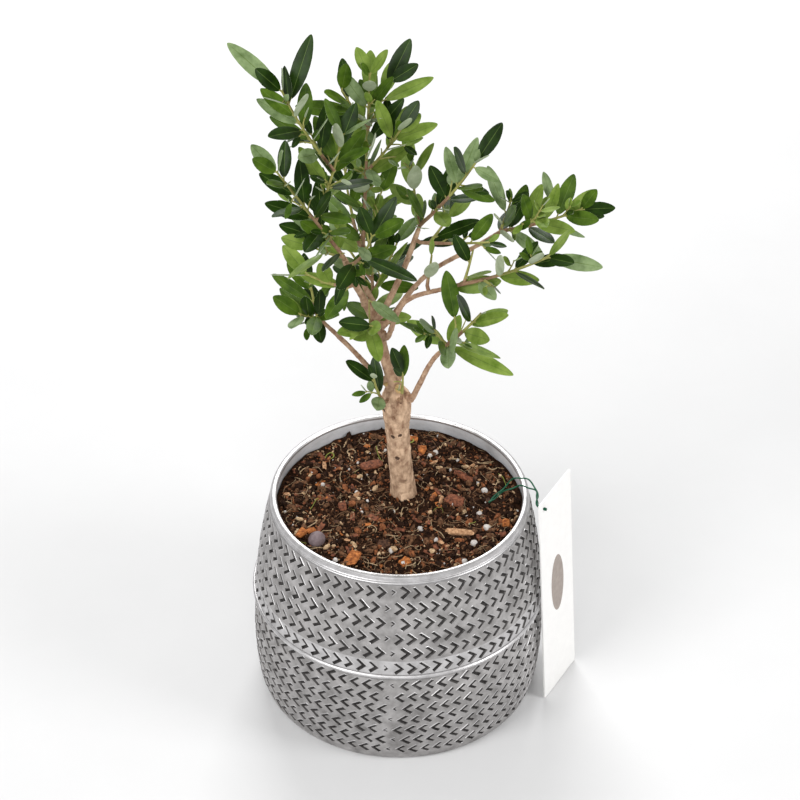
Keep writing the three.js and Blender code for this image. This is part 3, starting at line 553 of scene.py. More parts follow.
def smooth_path(points, steps):
    """Evenly spaced points along a smooth curve through the given points."""
    p = [np.asarray(q, float) for q in points]
    p = [2 * p[0] - p[1], *p, 2 * p[-1] - p[-2]]
    curve = []
    for a, b, c, d in zip(p, p[1:], p[2:], p[3:]):
        for t in np.arange(24) / 24:
            curve.append(0.5 * (2 * b + (c - a) * t + (2 * a - 5 * b + 4 * c - d) * t * t
                                + (3 * b - a - 3 * c + d) * t ** 3))
    curve = np.array([*curve, p[-2]])
    run = np.concatenate([[0], np.cumsum(np.linalg.norm(np.diff(curve, axis=0), axis=1))])
    places = np.linspace(0, run[-1], steps + 1)
    return np.column_stack([np.interp(places, run, curve[:, k]) for k in range(3)])


def tube(path, radii, sides):
    """A round stem along a path, with its own radius at each point."""
    path = np.asarray(path, float)
    ways = np.gradient(path, axis=0)
    ways /= np.linalg.norm(ways, axis=1)[:, None]
    side = np.cross(ways[0], (0.3, -0.9, 0.1) if abs(ways[0][1]) < 0.9 else (1, 0, 0))
    points = []
    turns = np.arange(sides) * 2 * math.pi / sides
    for centre, way, radius in zip(path, ways, radii):
        side = side - way * side.dot(way)
        side /= np.linalg.norm(side)
        other = np.cross(way, side)
        points.append(centre + radius * (np.outer(np.cos(turns), side) + np.outer(np.sin(turns), other)))
    faces = []
    last = (len(path) - 1) * sides
    for low in range(0, last, sides):
        for k in range(sides):
            after = (k + 1) % sides
            faces.append((low + k, low + after, low + sides + after, low + sides + k))
    faces += [tuple(reversed(range(sides))), tuple(range(last, last + sides))]
    return np.concatenate(points), faces


fibres = Heap()
for _ in range(FIBRES):
    x, y = anywhere_on_soil(9)
    heading, length = 2 * math.pi * rng.random(), rng.uniform(3, 15)
    bend, path = rng.normal(0, 0.5), []
    for step in range(6):
        if math.hypot(x, y) > LOOSE_RADIUS + 0.5:
            break
        path.append(rest_on_soil(x, y, 0.5 + 0.8 * math.sin(math.pi * step / 5)))
        x, y = x + length / 6 * math.cos(heading), y + length / 6 * math.sin(heading)
        heading += bend
    if len(path) > 3:
        radius = 0.08 + 0.3 * rng.random() ** 2.5
        finish = int(rng.choice(3, p=(0.42, 0.55, 0.03)))
        fibres.add(*tube(smooth_path(path, 9), np.full(10, radius), 4), finish)
FIBRE_LOOKS = (("pale_fibre", (0.56, 0.42, 0.26), (0.26, 0.17, 0.09), 0.8),
               ("brown_fibre", (0.26, 0.14, 0.07), (0.09, 0.045, 0.02), 0.8),
               ("green_fibre", (0.3, 0.33, 0.07), (0.2, 0.23, 0.04), 0.7))
fibre_finishes = [finish_of(name, light, dark, 1.5, 0.3, 0.1, roughness=roughness)
                  for name, light, dark, roughness in FIBRE_LOOKS]
fibres.piece("root_fibres", fibre_finishes, "soil", 50)

# ------------------------------------------------------------------------ trunk and boughs
# One short bare trunk that leans a little left, with tan bark, small knots and a knuckle at
# its top where it was pruned. A slimmer leader and seven red-brown boughs grow from there.
GAP = 0.3
LEAD_IN = 2.2
TRUNK_RADII = ((0, 7.1), (0.08, 6.7), (0.22, 6.3), (0.5, 6.1), (0.68, 6.5), (0.84, 7.9), (0.93, 7.3),
               (1, 4.6))
limbs = {}


def unit(v):
    return np.asarray(v, float) / np.linalg.norm(v)


def direction(heading, rise):
    """Heading 0 points along +X and 90 along +Y; rise is the angle above level."""
    heading, rise = math.radians(heading), math.radians(rise)
    return np.array([math.cos(rise) * math.cos(heading), math.cos(rise) * math.sin(heading), math.sin(rise)])


def square_to(axis, v):
    return unit(v - axis * np.dot(v, axis))


class Limb:
    """A smooth path with a radius along it."""

    def __init__(self, start, lead, points, radii):
        self.line = smooth_path([start, start + lead * LEAD_IN, *points], 240)
        self.places, self.radii = zip(*radii)

    def at(self, along):
        spot = along * (len(self.line) - 1)
        return np.array([np.interp(spot, range(len(self.line)), self.line[:, k]) for k in range(3)])

    def way(self, along):
        return unit(self.at(min(1, along + 0.01)) - self.at(max(0, along - 0.01)))

    def radius(self, along):
        return float(np.interp(along, self.places, self.radii))


def tip_seat(name):
    lead = limbs[name].way(1)
    return limbs[name].at(1) + lead * GAP, lead


def side_seat(name, along, heading, rise):
    limb = limbs[name]
    lead = square_to(limb.way(along), direction(heading, rise))
    return limb.at(along) + lead * (limb.radius(along) + GAP), lead


limbs["trunk"] = Limb(np.array([*TRUNK_FOOT, SOIL_LEVEL + GAP]), np.array([0, 0, 1.0]),
                      [(-0.2, 7.2, 142), (-1.8, 6.2, 166), (-2.4, 6, 180), (-3.6, 6, 190)], TRUNK_RADII)
limbs["upper_trunk"] = Limb(*tip_seat("trunk"), [(-8, 6, 208), (-12, 7, 227), (-19, 8, 244)],
                            ((0, 3.6), (0.15, 2.9), (1, 2.1)))
BOUGHS = (
    ("left_bough", tip_seat, ("upper_trunk",), ((-25, 2, 262), (-29, -4, 279)), 1.8, 1.5),
    ("centre_bough", side_seat, ("upper_trunk", 0.9, 80, 50), ((-20, 17, 250), (-20, 19, 266)), 1.5, 1.35),
    ("upright_bough", side_seat, ("upper_trunk", 0.8, 20, 40), ((0, 12, 259), (8, 18, 282)), 1.7, 1.3),
    ("right_bough", side_seat, ("upper_trunk", 0.68, 30, 10),
     ((12, 14, 256), (37, 19, 271), (48, 22, 277)), 1.4, 1.1),
    ("right_low_bough", side_seat, ("upper_trunk", 0.6, -30, 10), ((2, 0, 250), (24, -5, 263)), 1.4, 1.15),
    ("low_right_bough", side_seat, ("trunk", 0.93, -25, 30), ((15, -6, 215), (23, -13, 232)), 1.6, 1.1),
    ("low_left_bough", side_seat, ("upper_trunk", 0.08, 170, 0), ((-27, 9, 214), (-41, 12, 228)), 1.5, 1.1),
)
for name, seat, seat_values, points, foot, tip in BOUGHS:
    limbs[name] = Limb(*seat(*seat_values), points, ((0, foot * 1.15), (0.12, foot), (1, tip)))


def limb_tube(limb, sides, steps, sink, collar):
    """A limb as a tube, its foot carried on into what bears it by sink mm and collar wider."""
    places = np.linspace(0, 1, steps + 1)
    path = [limb.at(place) for place in places]
    radii = [limb.radius(place) for place in places]
    path.insert(0, path[0] - limb.way(0) * sink)
    radii.insert(0, radii[0] * collar)
    return tube(path, radii, sides)


def bark_piece(name, tubes, voxel, smoothing, relief, materials):
    """Tubes grown together into one skin, then roughened by relief(points)."""
    heap = Heap()
    for points, faces in tubes:
        heap.add(points, faces, 0)
    piece = new_mesh(name, np.concatenate(heap.points), heap.faces, materials)
    remesh = piece.modifiers.new("grown_together", "REMESH")
    remesh.mode = "VOXEL"
    remesh.voxel_size = voxel * MM
    soften = piece.modifiers.new("softened", "SMOOTH")
    soften.iterations = smoothing
    soften.factor = 0.5
    shaped = bpy.data.meshes.new_from_object(piece.evaluated_get(bpy.context.evaluated_depsgraph_get()))
    piece.modifiers.clear()
    piece.data = shaped
    count = len(shaped.vertices)
    points, normals = np.empty(count * 3), np.empty(count * 3)
    shaped.vertices.foreach_get("co", points)
    shaped.vertices.foreach_get("normal", normals)
    points, normals = points.reshape(-1, 3) / MM, normals.reshape(-1, 3)
    points = points + normals * relief(points)[:, None]
    shaped.vertices.foreach_set("co", (points * MM).ravel())
    shaped.shade_smooth()
    shaped.update()
    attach(piece, "root")
    return piece


# Knots: height up the trunk, heading, radius and how far they stand out (in where below 0).
KNOTS = ((0.22, -70, 2.2, 0.7), (0.42, -99, 1.6, -0.8), (0.62, -112, 1.5, -0.9), (0.63, -77, 1.5, -0.9),
         (0.85, -150, 2.1, -1.0), (0.9, -147, 2.1, -1.0), (0.77, -140, 2.4, 0.9), (0.86, -60, 2.6, 1.0),
         (0.9, 60, 2.6, 1.0), (0.35, 120, 1.8, 0.7), (0.7, 160, 1.6, -0.8), (0.93, -100, 2.0, 0.8))
# Pruned stubs: height up the trunk, heading, rise, radius and how far they stand out.
STUBS = ((0.45, -20, 10, 1.2, 0.6), (0.95, -60, 50, 2.4, 2.0), (0.97, 190, 50, 1.9, 2.0),
         (0.98, 60, 60, 2.0, 2.5))
BARE_STUBS = STUBS[1:3]          # their cut ends show yellow wood
# The bark's relief: height, size and seed of its lumps, and how they are drawn out upwards.
BARK_RELIEF = ((0.32, 3.2, 11, 0.45), (0.2, 1.3, 12, 0.45), (0.1, 0.7, 13, 1))
BARK_RINGS = (0.12, 1.1, 14)


def on_trunk(along, heading):
    trunk = limbs["trunk"]
    out = square_to(trunk.way(along), direction(heading, 0))
    return trunk.at(along) + out * trunk.radius(along)


def layered(points, rows):
    """Several sizes of lumps, one on another."""
    return sum(out * lumps(points * (1, 1, drawn), size, seed) for out, size, seed, drawn in rows)


def trunk_relief(points):
    height = layered(points, BARK_RELIEF)
    out, size, seed = BARK_RINGS
    rings = out * lumps(points * (0.25, 0.25, 1), size, seed)
    for along, heading, size, out in KNOTS:
        away = np.linalg.norm(points - on_trunk(along, heading), axis=1)
        height += out * np.exp(-(away / (0.62 * size)) ** 2)
        height += 0.35 * abs(out) * np.exp(-((away - size) / (0.35 * size)) ** 2)
    return height + rings


trunk_tubes = [limb_tube(limbs["trunk"], 32, 60, 4.0, 1.06)]
for along, heading, rise, radius, length in STUBS:
    start = limbs["trunk"].at(along)
    reach = direction(heading, rise) * (limbs["trunk"].radius(along) + length)
    stub_radii = (radius * 1.3, radius * 1.1, radius)
    trunk_tubes.append(tube([start, start + reach * 0.6, start + reach], stub_radii, 12))
trunk_bark = finish_of("trunk_bark", (0.7, 0.49, 0.33), (0.2, 0.105, 0.06), 3.6, 0.9, 0.5, (1, 1, 0.6),
                       share=0.3, light_share=0.64, roughness=0.82, gloss=0.15)
knot_bark = finish_of("knot_bark", (0.12, 0.07, 0.045), (0.05, 0.03, 0.02), 1.2, 0.6, 0.2, roughness=0.85)
bare_wood = finish_of("bare_wood", (0.62, 0.44, 0.2), (0.46, 0.3, 0.13), 2.0, 0.5, 0.2, roughness=0.7)
trunk_skin = bark_piece("trunk_skin", trunk_tubes, 0.42, 4, trunk_relief,
                        (trunk_bark, knot_bark, bare_wood))
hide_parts("trunk")


def face_centres(piece):
    centres = np.empty(len(piece.data.polygons) * 3)
    piece.data.polygons.foreach_get("center", centres)
    return centres.reshape(-1, 3) / MM


centres = face_centres(trunk_skin)
finish = np.zeros(len(centres), int)
for along, heading, size, out in KNOTS:
    if out < 0:
        away = np.linalg.norm(centres - on_trunk(along, heading), axis=1)
        finish[away < 0.75 * size + 0.3 * lumps(centres, 1.0, 15)] = 1
for along, heading, rise, radius, length in BARE_STUBS:
    end = limbs["trunk"].at(along) + direction(heading, rise) * (limbs["trunk"].radius(along) + length)
    finish[np.linalg.norm(centres - end, axis=1) < radius * 1.15] = 2
trunk_skin.data.polygons.foreach_set("material_index", finish)


BOUGH_RELIEF = ((0.14, 1.9, 21, 0.6), (0.08, 0.8, 22, 1))


def bough_relief(points):
    """Fine lumps, and a bud's swelling here and there."""
    return layered(points, BOUGH_RELIEF) + 0.22 * np.clip(lumps(points, 3.1, 23) - 0.25, 0, 1)


bough_tubes = [limb_tube(limbs["upper_trunk"], 20, 40, 5.0, 1.25)]
for name, *_ in BOUGHS:
    bough_tubes.append(limb_tube(limbs[name], 12, 36, 2.2, 1.25))
bough_bark = finish_of("bough_bark", (0.58, 0.40, 0.27), (0.24, 0.125, 0.075), 3.2, 0.7, 0.3, (1, 1, 0.7),
                       share=0.3, light_share=0.66, roughness=0.75, gloss=0.15)
bough_skin = bark_piece("bough_skin", bough_tubes, 0.3, 3, bough_relief, (bough_bark,))
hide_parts("upper_trunk", *[name for name, *_ in BOUGHS])

# --------------------------------------------------------------------------------- foliage
# Leaves stand in pairs, each pair turned a quarter from the last, on thin shoots that leave
# the boughs. A leaf is leathery, 15 to 37 mm long: dark green above with a pale midrib,
# silvery below. Each foliage mass keeps to the space nearer its own shoots than any other's.
LEAF_LENGTH, LEAF_SLIMNESS, LONG_SLIMMING = 28, 2.9, 0.7
SMALLEST_LEAF = 15
NODE_SPACING = 9
# The growing rule: how large leaves are at a shoot's foot and how much more at its middle, how
# wide they open at its foot and how much less at its tip, and how far chance moves each.
FOOT_FULLNESS, MIDDLE_FULLNESS = 0.7, 0.4
OPENING, OPENING_LOSS = 66, 34
LEAST_SIZE, SIZE_SPREAD = 0.86, 0.28
TURN_SPREAD, OPENING_SPREAD, ROLL_SPREAD = 30, 0.35, 0.9
FITTINGS = ((1, 0), (1, 0.7), (0.85, -0.7), (0.7, 0.2), (0.6, -0.4))   # size and roll, tried in turn
LIGHT_WAY, TWIG_PULL = np.array([0, -0.45, 1]), 0.4      # what a leaf's face turns to
BLADE_OUTLINE = ((0.12, 0), (0.3, 0.36), (0.6, 0.48), (1, 0), (0.6, -0.48), (0.3, -0.36))
TWIG_RADIUS, TWIG_TIP_RADIUS = 1.05, 0.5
CROWN_CLEARANCE, CROWN_FLOOR = 0.7, 132
STEM_STEP, SIDE_SHOOT_LIFT = 10, 12
# A mass: name, seat, heading, rise, length, lift, bare share, leaf size, tip size, roll, seed,
# side shoots (shoot left, along, heading, rise, length), far leaves (shoot, along, heading,
# rise, length).
MASSES = (
    ("left_foliage", tip_seat, ("left_bough",), 211, 60, 74, 0, 0, 0.85, 0.8, 60, 7,
     ((0, 0.5, 25, 66, 50), (1, 0.6, 194, 56, 56), (0, 0.08, 205, 25, 20), (0, 0.3, 270, 40, 20)),
     ((2, 1, 150, 31, 36), (2, 0.85, 64, 49, 36), (2, 0.6, 160, 22, 25), (0, 1, 147, 34, 19),
      (0, 0.92, 88, 52, 20), (0, 0.3, 161, 33, 33))),
    ("centre_foliage", tip_seat, ("centre_bough",), 78, 82, 98, 0, 0, 0.95, 0.6, 0, 12,
     ((0, 0.5, -10, 50, 32), (0, 0.72, 45, 48, 26), (0, 0.74, 175, 48, 24), (0, 0.2, -40, 40, 20)),
     ((2, 0.9, 52, 45, 27), (2, 0.6, 16, 19, 29), (1, 0.7, 98, 51, 28), (1, 0.95, 30, 30, 15))),
    ("front_foliage", side_seat, ("left_bough", 0.97, 300, 10), 305, 38, 36, 30, 0, 1.1, 0.8, 60, 7,
     (),
     ()),
    ("centre_back_foliage", side_seat, ("centre_bough", 0.95, 100, 10), 110, 30, 44, 35, 0, 1, 0.8, 60, 2,
     ((0, 0.3, 60, 30, 28),),
     ()),
    ("upright_foliage", tip_seat, ("upright_bough",), -14, 50, 52, 12, 0, 0.9, 0.7, 0, 6,
     ((0, 0.08, 110, 60, 34),),
     ((0, 1, 44, 41, 24), (0, 0.7, 115, 49, 21), (0, 0.95, -17, -20, 15), (0, 0.7, -12, -15, 20))),
    ("middle_foliage", side_seat, ("upright_bough", 0.9, -30, 10), -14, 6, 36, 8, 0, 0.9, 0.9, 0, 6,
     ((0, 0.3, 50, 20, 16),),
     ((1, 0.9, -9, 13, 31),)),
    ("right_foliage", tip_seat, ("right_bough",), 4, 8, 42, 14, 0, 0.8, 0.7, 0, 6,
     ((0, 0.12, 60, 40, 16), (0, 0.4, -50, 40, 18), (0, 0.6, 50, 40, 12)),
     ((0, 0.75, 58, 47, 24), (0, 0.9, -3, -4, 17), (0, 0.3, 63, 48, 24), (0, 0.1, -82, -24, 22))),
    ("right_low_foliage", tip_seat, ("right_low_bough",), -12, 20, 54, 14, 0.3, 0.7, 0.8, 30, 12,
     ((0, 0.04, -80, -50, 20), (0, 0.42, -60, 5, 12), (0, 0.25, 60, 50, 18)),
     ((0, 1, -5, -7, 28), (1, 0.9, 116, 65, 27), (1, 0.05, -3, 14, 26))),
    ("under_foliage", side_seat, ("right_low_bough", 0.8, 90, 60), 70, 60, 16, 10, 0.2, 0.7, 0.9, 0, 13,
     (),
     ((0, 0.3, 34, 36, 24),)),
    ("low_right_foliage", tip_seat, ("low_right_bough",), -30, 50, 32, 8, 0, 1, 0.9, 0, 8,
     ((0, 0.05, 210, 50, 14),),
     ((0, 0.05, -15, -19, 37), (0, 0.05, 160, 23, 28), (0, 0.1, 86, 52, 16), (0, 0.7, 5, 24, 31))),
    ("low_left_foliage", tip_seat, ("low_left_bough",), 120, 55, 20, 10, 0, 0.9, 0.8, 0, 8,
     ((0, 0.1, 215, 25, 14), (0, 0.2, 265, 35, 16)),
     ((0, 0.8, 140, 35, 20), (1, 0.9, 157, 27, 16))),
    ("crotch_foliage", side_seat, ("left_bough", 0.4, 200, 20), 185, 5, 22, 25, 0, 1, 0.8, 0, 11,
     (),
     ((0, 0.4, 171, 11, 23),)),
    ("inner_foliage", side_seat, ("upper_trunk", 0.8, 250, 10), 255, 10, 10, 20, 0.3, 0.8, 0.9, 0, 11,
     (),
     ((0, 0.6, 179, 1, 17),)),
    ("basal_left_foliage", side_seat, ("trunk", 0.95, 235, 10), 238, 48, 26, 25, 0.4, 0.7, 0.7, 0, 11,
     (),
     ((0, 0.9, 171, 40, 27), (0, 0.9, 94, 52, 26), (0, 0.9, 155, 28, 26))),
    ("basal_right_foliage", side_seat, ("trunk", 0.95, 290, 10), 278, 55, 24, 25, 0.25, 0.7, 0.7, 30, 8,
     (),
     ((0, 0.9, 88, 52, 21),)),
    ("back_foliage", side_seat, ("upper_trunk", 0.75, 100, 10), 95, 20, 50, 40, 0, 1, 0.8, 60, 12,
     ((0, 0.4, 50, 40, 28), (0, 0.5, 150, 40, 26)),
     ()),
)


def shoot_path(start, heading, rise, length, lift):
    steps = max(2, round(length / STEM_STEP))
    path = [start]
    for i in range(1, steps + 1):
        path.append(path[-1] + direction(heading, rise + lift * i / steps) * length / steps)
    return path


def point_on(path, along):
    place = min(along, 0.9999) * (len(path) - 1)
    i = int(place)
    way = path[i + 1] - path[i]
    return path[i] + way * (place - i), unit(way)


masses = []
for name, seat, seat_values, heading, rise, length, lift, bare, leaf, tip, roll, seed, side, far in MASSES:
    start, lead = seat(*seat_values)
    main = shoot_path(start + lead * LEAD_IN, heading, rise, length, lift)
    shoots = [(np.array([start, *main]), length, bare, TWIG_RADIUS)]
    for carrier, along, side_heading, side_rise, side_length in side:
        foot, _ = point_on(shoots[carrier][0], along)
        path = shoot_path(foot, side_heading, side_rise, side_length, SIDE_SHOOT_LIFT)
        shoots.append((np.array(path), side_length, 0, TWIG_RADIUS * 0.8))
    masses.append((name, shoots, leaf, tip, roll, seed, far))

# Every stretch of every shoot and limb, to measure from.
stretches = [(a, b, number) for number, mass in enumerate(masses) for path, *_ in mass[1]
             for a, b in zip(path, path[1:])]
SHOOT_FROM, SHOOT_TO, SHOOT_OWNER = (np.array(column) for column in zip(*stretches))
KNUCKLE = 0.84                   # where up the trunk its knuckle is thickest
limb_stretches = []
for limb in limbs.values():
    line = limb.line[::20]
    reach = max(limb.radius(0), limb.radius(KNUCKLE))
    limb_stretches += [(a, b, reach) for a, b in zip(line, line[1:])]
LIMB_FROM, LIMB_TO, LIMB_REACH = (np.array(column) for column in zip(*limb_stretches))


def distances(points, starts, ends):
    run = ends - starts
    t = (((points[:, None] - starts) * run).sum(2) / (run * run).sum(1)).clip(0, 1)
    return np.linalg.norm(points[:, None] - (starts + t[:, :, None] * run), axis=2)


def in_own_space(points, owner):
    if points[:, 2].min() < CROWN_FLOOR:
        return False
    if (distances(points, LIMB_FROM, LIMB_TO) < LIMB_REACH + CROWN_CLEARANCE).any():
        return False
    away = distances(points, SHOOT_FROM, SHOOT_TO)
    own = away[:, SHOOT_OWNER == owner].min(1) + CROWN_CLEARANCE
    return bool((away[:, SHOOT_OWNER != owner].min(1) > own).all())


class Blade:
    """A leaf's flat form: root, way, across, face, length and width."""

    def __init__(self, root, way, twig_way, length, roll, owner, shoot, slender=1.0):
        skyward = square_to(way, twig_way * TWIG_PULL + LIGHT_WAY)
        turn = np.array(Matrix.Rotation(roll, 3, Vector(way)))
        self.root, self.way, self.face = root, way, turn @ skyward
        self.across = np.cross(way, self.face)
        self.length, self.owner, self.shoot = length, owner, shoot
        self.width = slender * length / LEAF_SLIMNESS * (LEAF_LENGTH / length) ** LONG_SLIMMING
        self.corners = np.array([self.at(along, aside) for along, aside in BLADE_OUTLINE])
        self.middle = self.at(0.5, 0)

    def at(self, along, aside):
        return self.root + self.way * along * self.length + self.across * aside * self.width

    def is_cut_by(self, other):
        start, end = other.corners - self.root, np.roll(other.corners, -1, axis=0) - self.root
        above, below = start @ self.face, end @ self.face
        crosses = above * below <= 0
        share = above / np.where(np.abs(above - below) < 1e-9, 1e-9, above - below)
        hit = start + (end - start) * share[:, None]
        u = 2 * (hit @ self.way) / self.length - 1
        v = 2 * (hit @ self.across) / self.width
        return bool((crosses & (u * u + v * v < 1.1)).any())


blades = []


def has_room(blade):
    """Whether a leaf keeps to its mass's space and passes through no other leaf."""
    if not in_own_space(blade.corners, blade.owner):
        return False
    near = [b for b in blades if np.linalg.norm(b.middle - blade.middle) < (b.length + blade.length) / 2]
    return not any(b.is_cut_by(blade) or blade.is_cut_by(b) for b in near)


def grow_leaf(root, way, twig_way, length, roll, owner, shoot):
    """A leaf where it has room, tried shorter or turned until it fits."""
    for size, turn in FITTINGS:
        if length * size < SMALLEST_LEAF:
            continue
        blade = Blade(root, way, twig_way, length * size, roll + turn, owner, shoot)
        if has_room(blade):
            blades.append(blade)
            return


def seeded(seed):
    state = seed * 2654435761 % 4294967296
    while True:
        state = (state * 1664525 + 1013904223) % 4294967296
        yield state / 4294967296


def lean_out(way, quarter, opening):
    """A leaf's way: out from its twig by opening, turned by quarter about it."""
    aside = square_to(way, np.array([0, -1, 0.01]))
    out = np.array(Matrix.Rotation(quarter, 3, Vector(way))) @ aside
    return way * math.cos(opening) + out * math.sin(opening)


for owner, (_, shoots, *_, far) in enumerate(masses):
    for carrier, along, heading, rise, length in far:
        root, way = point_on(shoots[carrier][0], along)
        grow_leaf(root, direction(heading, rise), way, length, 0, owner, carrier)
for owner, (_, shoots, leaf, tip, roll, seed, _) in enumerate(masses):
    draw = seeded(seed)
    for carrier, (path, length, bare, _) in enumerate(shoots):
        count = max(1, math.floor(length * (1 - bare) / NODE_SPACING + 0.5))
        for k in range(count + 1):
            share = (k + 0.5) / (count + 0.5)
            root, way = point_on(path, bare + (1 - bare) * share)
            fullness = tip if k == count else FOOT_FULLNESS + MIDDLE_FULLNESS * math.sin(math.pi * share)
            spread = math.radians(OPENING - OPENING_LOSS * share)
            quarter = math.radians(roll + 90 * k + (next(draw) - 0.5) * TURN_SPREAD)
            for side in (0, math.pi):
                opening = spread + (next(draw) - 0.5) * OPENING_SPREAD
                size = LEAF_LENGTH * leaf * fullness * (LEAST_SIZE + SIZE_SPREAD * next(draw))
                leaf_roll = (next(draw) - 0.5) * ROLL_SPREAD
                grow_leaf(root, lean_out(way, quarter + side, opening), way, size, leaf_roll, owner, carrier)

# Young growth: a pair of small narrow leaves at each shoot's tip, and short sprigs with small
# leaves along the shoots.
YOUNG_LEAF, YOUNG_SLENDERNESS = 10.5, 0.62
SPRIG_SPACING, SPRIG_REACH = 11, 8.5
SPRIG_PAIRS = ((0.55, 0.9), (0.95, 0.5))     # along the sprig, and how wide its leaves open
young = np.random.default_rng(9)
sprigs = []


def grow_young(root, way, twig_way, length, owner, shoot):
    blade = Blade(root, way, twig_way, length, young.normal(0, 0.5), owner, shoot, YOUNG_SLENDERNESS)
    if has_room(blade):
        blades.append(blade)


for owner, (_, shoots, *_) in enumerate(masses):
    for carrier, (path, length, bare, _) in enumerate(shoots):
        tip, way = path[-1], unit(path[-1] - path[-2])
        quarter = 2 * math.pi * young.random()
        for side in (0, math.pi):
            out = lean_out(way, quarter + side, young.uniform(0.25, 0.6))
            grow_young(tip - way * 0.6, out, way, YOUNG_LEAF * young.uniform(0.6, 1.1), owner, carrier)
        for _ in range(round(length * (1 - bare) / SPRIG_SPACING)):
            foot, way = point_on(path, bare + (1 - bare) * young.uniform(0.1, 0.95))
            out = lean_out(way, 2 * math.pi * young.random(), young.uniform(0.6, 1.0))
            reach = SPRIG_REACH * young.uniform(0.5, 1.2)
            end = foot + out * reach
            if not in_own_space(np.array([foot + out * reach * 0.6, end]), owner):
                continue
            sprigs.append((foot, foot + out * reach * 0.55 + way * 0.5, end))
            for along, opening in SPRIG_PAIRS:
                quarter = 2 * math.pi * young.random()
                for side in (0, math.pi):
                    leaf_way = lean_out(out, quarter + side, opening)
                    size = YOUNG_LEAF * young.uniform(0.55, 1.15)
                    grow_young(foot + out * reach * along, leaf_way, out, size, owner, carrier)

# Leafy sprigs before the fork: mass, where its main shoot bears it, heading, rise and reach,
# then the heading, rise and length of the leaf at its end.
FORK_SPRIGS = (
    ("inner_foliage", 0.5, 103, 84, 14.9, (-23, -27, 19.3)),
    ("inner_foliage", 0.5, -81, 35, 14.1, (-168, 16, 18.2)),
    ("inner_foliage", 0.5, -16, -19, 5.9, (-179, -20, 15.2)),
)
for name, along, heading, rise, reach, (leaf_heading, leaf_rise, length) in FORK_SPRIGS:
    owner = [mass[0] for mass in masses].index(name)
    foot, _ = point_on(masses[owner][1][0][0], along)
    out = direction(heading, rise)
    end = foot + out * reach
    blade = Blade(end, direction(leaf_heading, leaf_rise), out, length, 0, owner, 0)
    if has_room(blade):
        sprigs.append((foot, foot + out * reach / 2, end))
        blades.append(blade)

# The trunk's knuckle is bare: the lowest masses bear no leaf below this height.
KNUCKLE_TOP = 191
low_masses = [number for number, mass in enumerate(masses) if mass[0].startswith("basal")]
blades = [blade for blade in blades if blade.owner not in low_masses or blade.root[2] > KNUCKLE_TOP]

# A leaf's own form: the shares of its length where it is measured, and its half width there.
PETIOLE = 0.08                   # share of the length that is stalk
LEAF_ROWS = [(PETIOLE + (1 - PETIOLE) * t, math.sin(math.pi * t ** 0.95) ** 0.6)
             for t in (0.01, 0.05, 0.12, 0.24, 0.38, 0.53, 0.67, 0.8, 0.9, 0.96, 0.988)]
LEAF_COLUMNS = (-1, -0.52, -0.03, 0.03, 0.52, 1)
LEAF_THICKNESS = 0.32
LEAF_FOLD, LEAF_DROOP = 0.16, 0.08
LEAST_HALF_WIDTH, EDGE_THICKNESS = 0.35, 0.05
RIB_SINK, RIB_PROUD, RIB_HALF_WIDTH = 0.12, 0.18, 0.1    # above, below, and as a share
RIB_COLUMN = 2                   # the faces between the two middle columns are the midrib
ABOVE, BELOW, MIDRIB = range(3)


def leaf_mesh(blade, rng, wide):
    """A leaf's points and faces, and which of its three finishes each face has."""
    half = blade.width / 2 * wide
    twist = rng.normal(0, 0.12)
    curl = rng.normal(0.12, 0.35)
    top, under = [], []

    def place(along, aside, lift):
        bow = -LEAF_DROOP * curl * blade.length * along * along
        angle = twist * along
        across = blade.across * math.cos(angle) + blade.face * math.sin(angle)
        up = blade.face * math.cos(angle) - blade.across * math.sin(angle)
        return blade.root + blade.way * along * blade.length + across * aside + up * (lift + bow)

    for along, share in LEAF_ROWS:
        width = max(LEAST_HALF_WIDTH, half * share)
        thick = LEAF_THICKNESS * (0.5 + 0.5 * share)
        for column in LEAF_COLUMNS:
            cup = LEAF_FOLD * width * (abs(column) - 0.9 * abs(column) ** 3)
            on_rib = abs(column) < RIB_HALF_WIDTH
            depth = thick if abs(column) < 1 else EDGE_THICKNESS
            top.append(place(along, column * width, cup - (RIB_SINK if on_rib else 0.0)))
            under.append(place(along, column * width, cup - depth - (RIB_PROUD if on_rib else 0.0)))
    tip = place(1.0, 0.0, 0.0)
    rows, columns = len(LEAF_ROWS), len(LEAF_COLUMNS)
    count = rows * columns
    points = [*top, *under, tip]
    faces, finish = [], []
    for i in range(rows - 1):
        for j in range(columns - 1):
            a, b = i * columns + j, i * columns + j + 1
            c, d = b + columns, a + columns
            faces += [(a, d, c, b), (count + a, count + b, count + c, count + d)]
            finish += [MIDRIB if j == RIB_COLUMN else ABOVE, BELOW]
        for edge, flip in ((0, False), (columns - 1, True)):
            a, d = i * columns + edge, (i + 1) * columns + edge
            side = (a, count + a, count + d, d)
            faces.append(side[::-1] if flip else side)
            finish.append(BELOW)
    last = (rows - 1) * columns
    for j in range(columns - 1):
        faces += [(last + j, 2 * count, last + j + 1), (count + last + j, count + last + j + 1, 2 * count)]
        finish += [MIDRIB if j == RIB_COLUMN else ABOVE, BELOW]
    faces += [(last, count + last, 2 * count), (last + columns - 1, 2 * count, count + last + columns - 1)]
    faces.append(tuple(range(columns)) + tuple(count + j for j in reversed(range(columns))))
    finish += [BELOW] * 3
    return np.array(points), faces, finish


def leaf_finish(name, colour, dark, roughness, gloss=0.15):
    return finish_of(name, colour, dark, 7, 0.25, 0.08, share=0.33, light_share=0.64, roughness=roughness,
                     gloss=gloss)


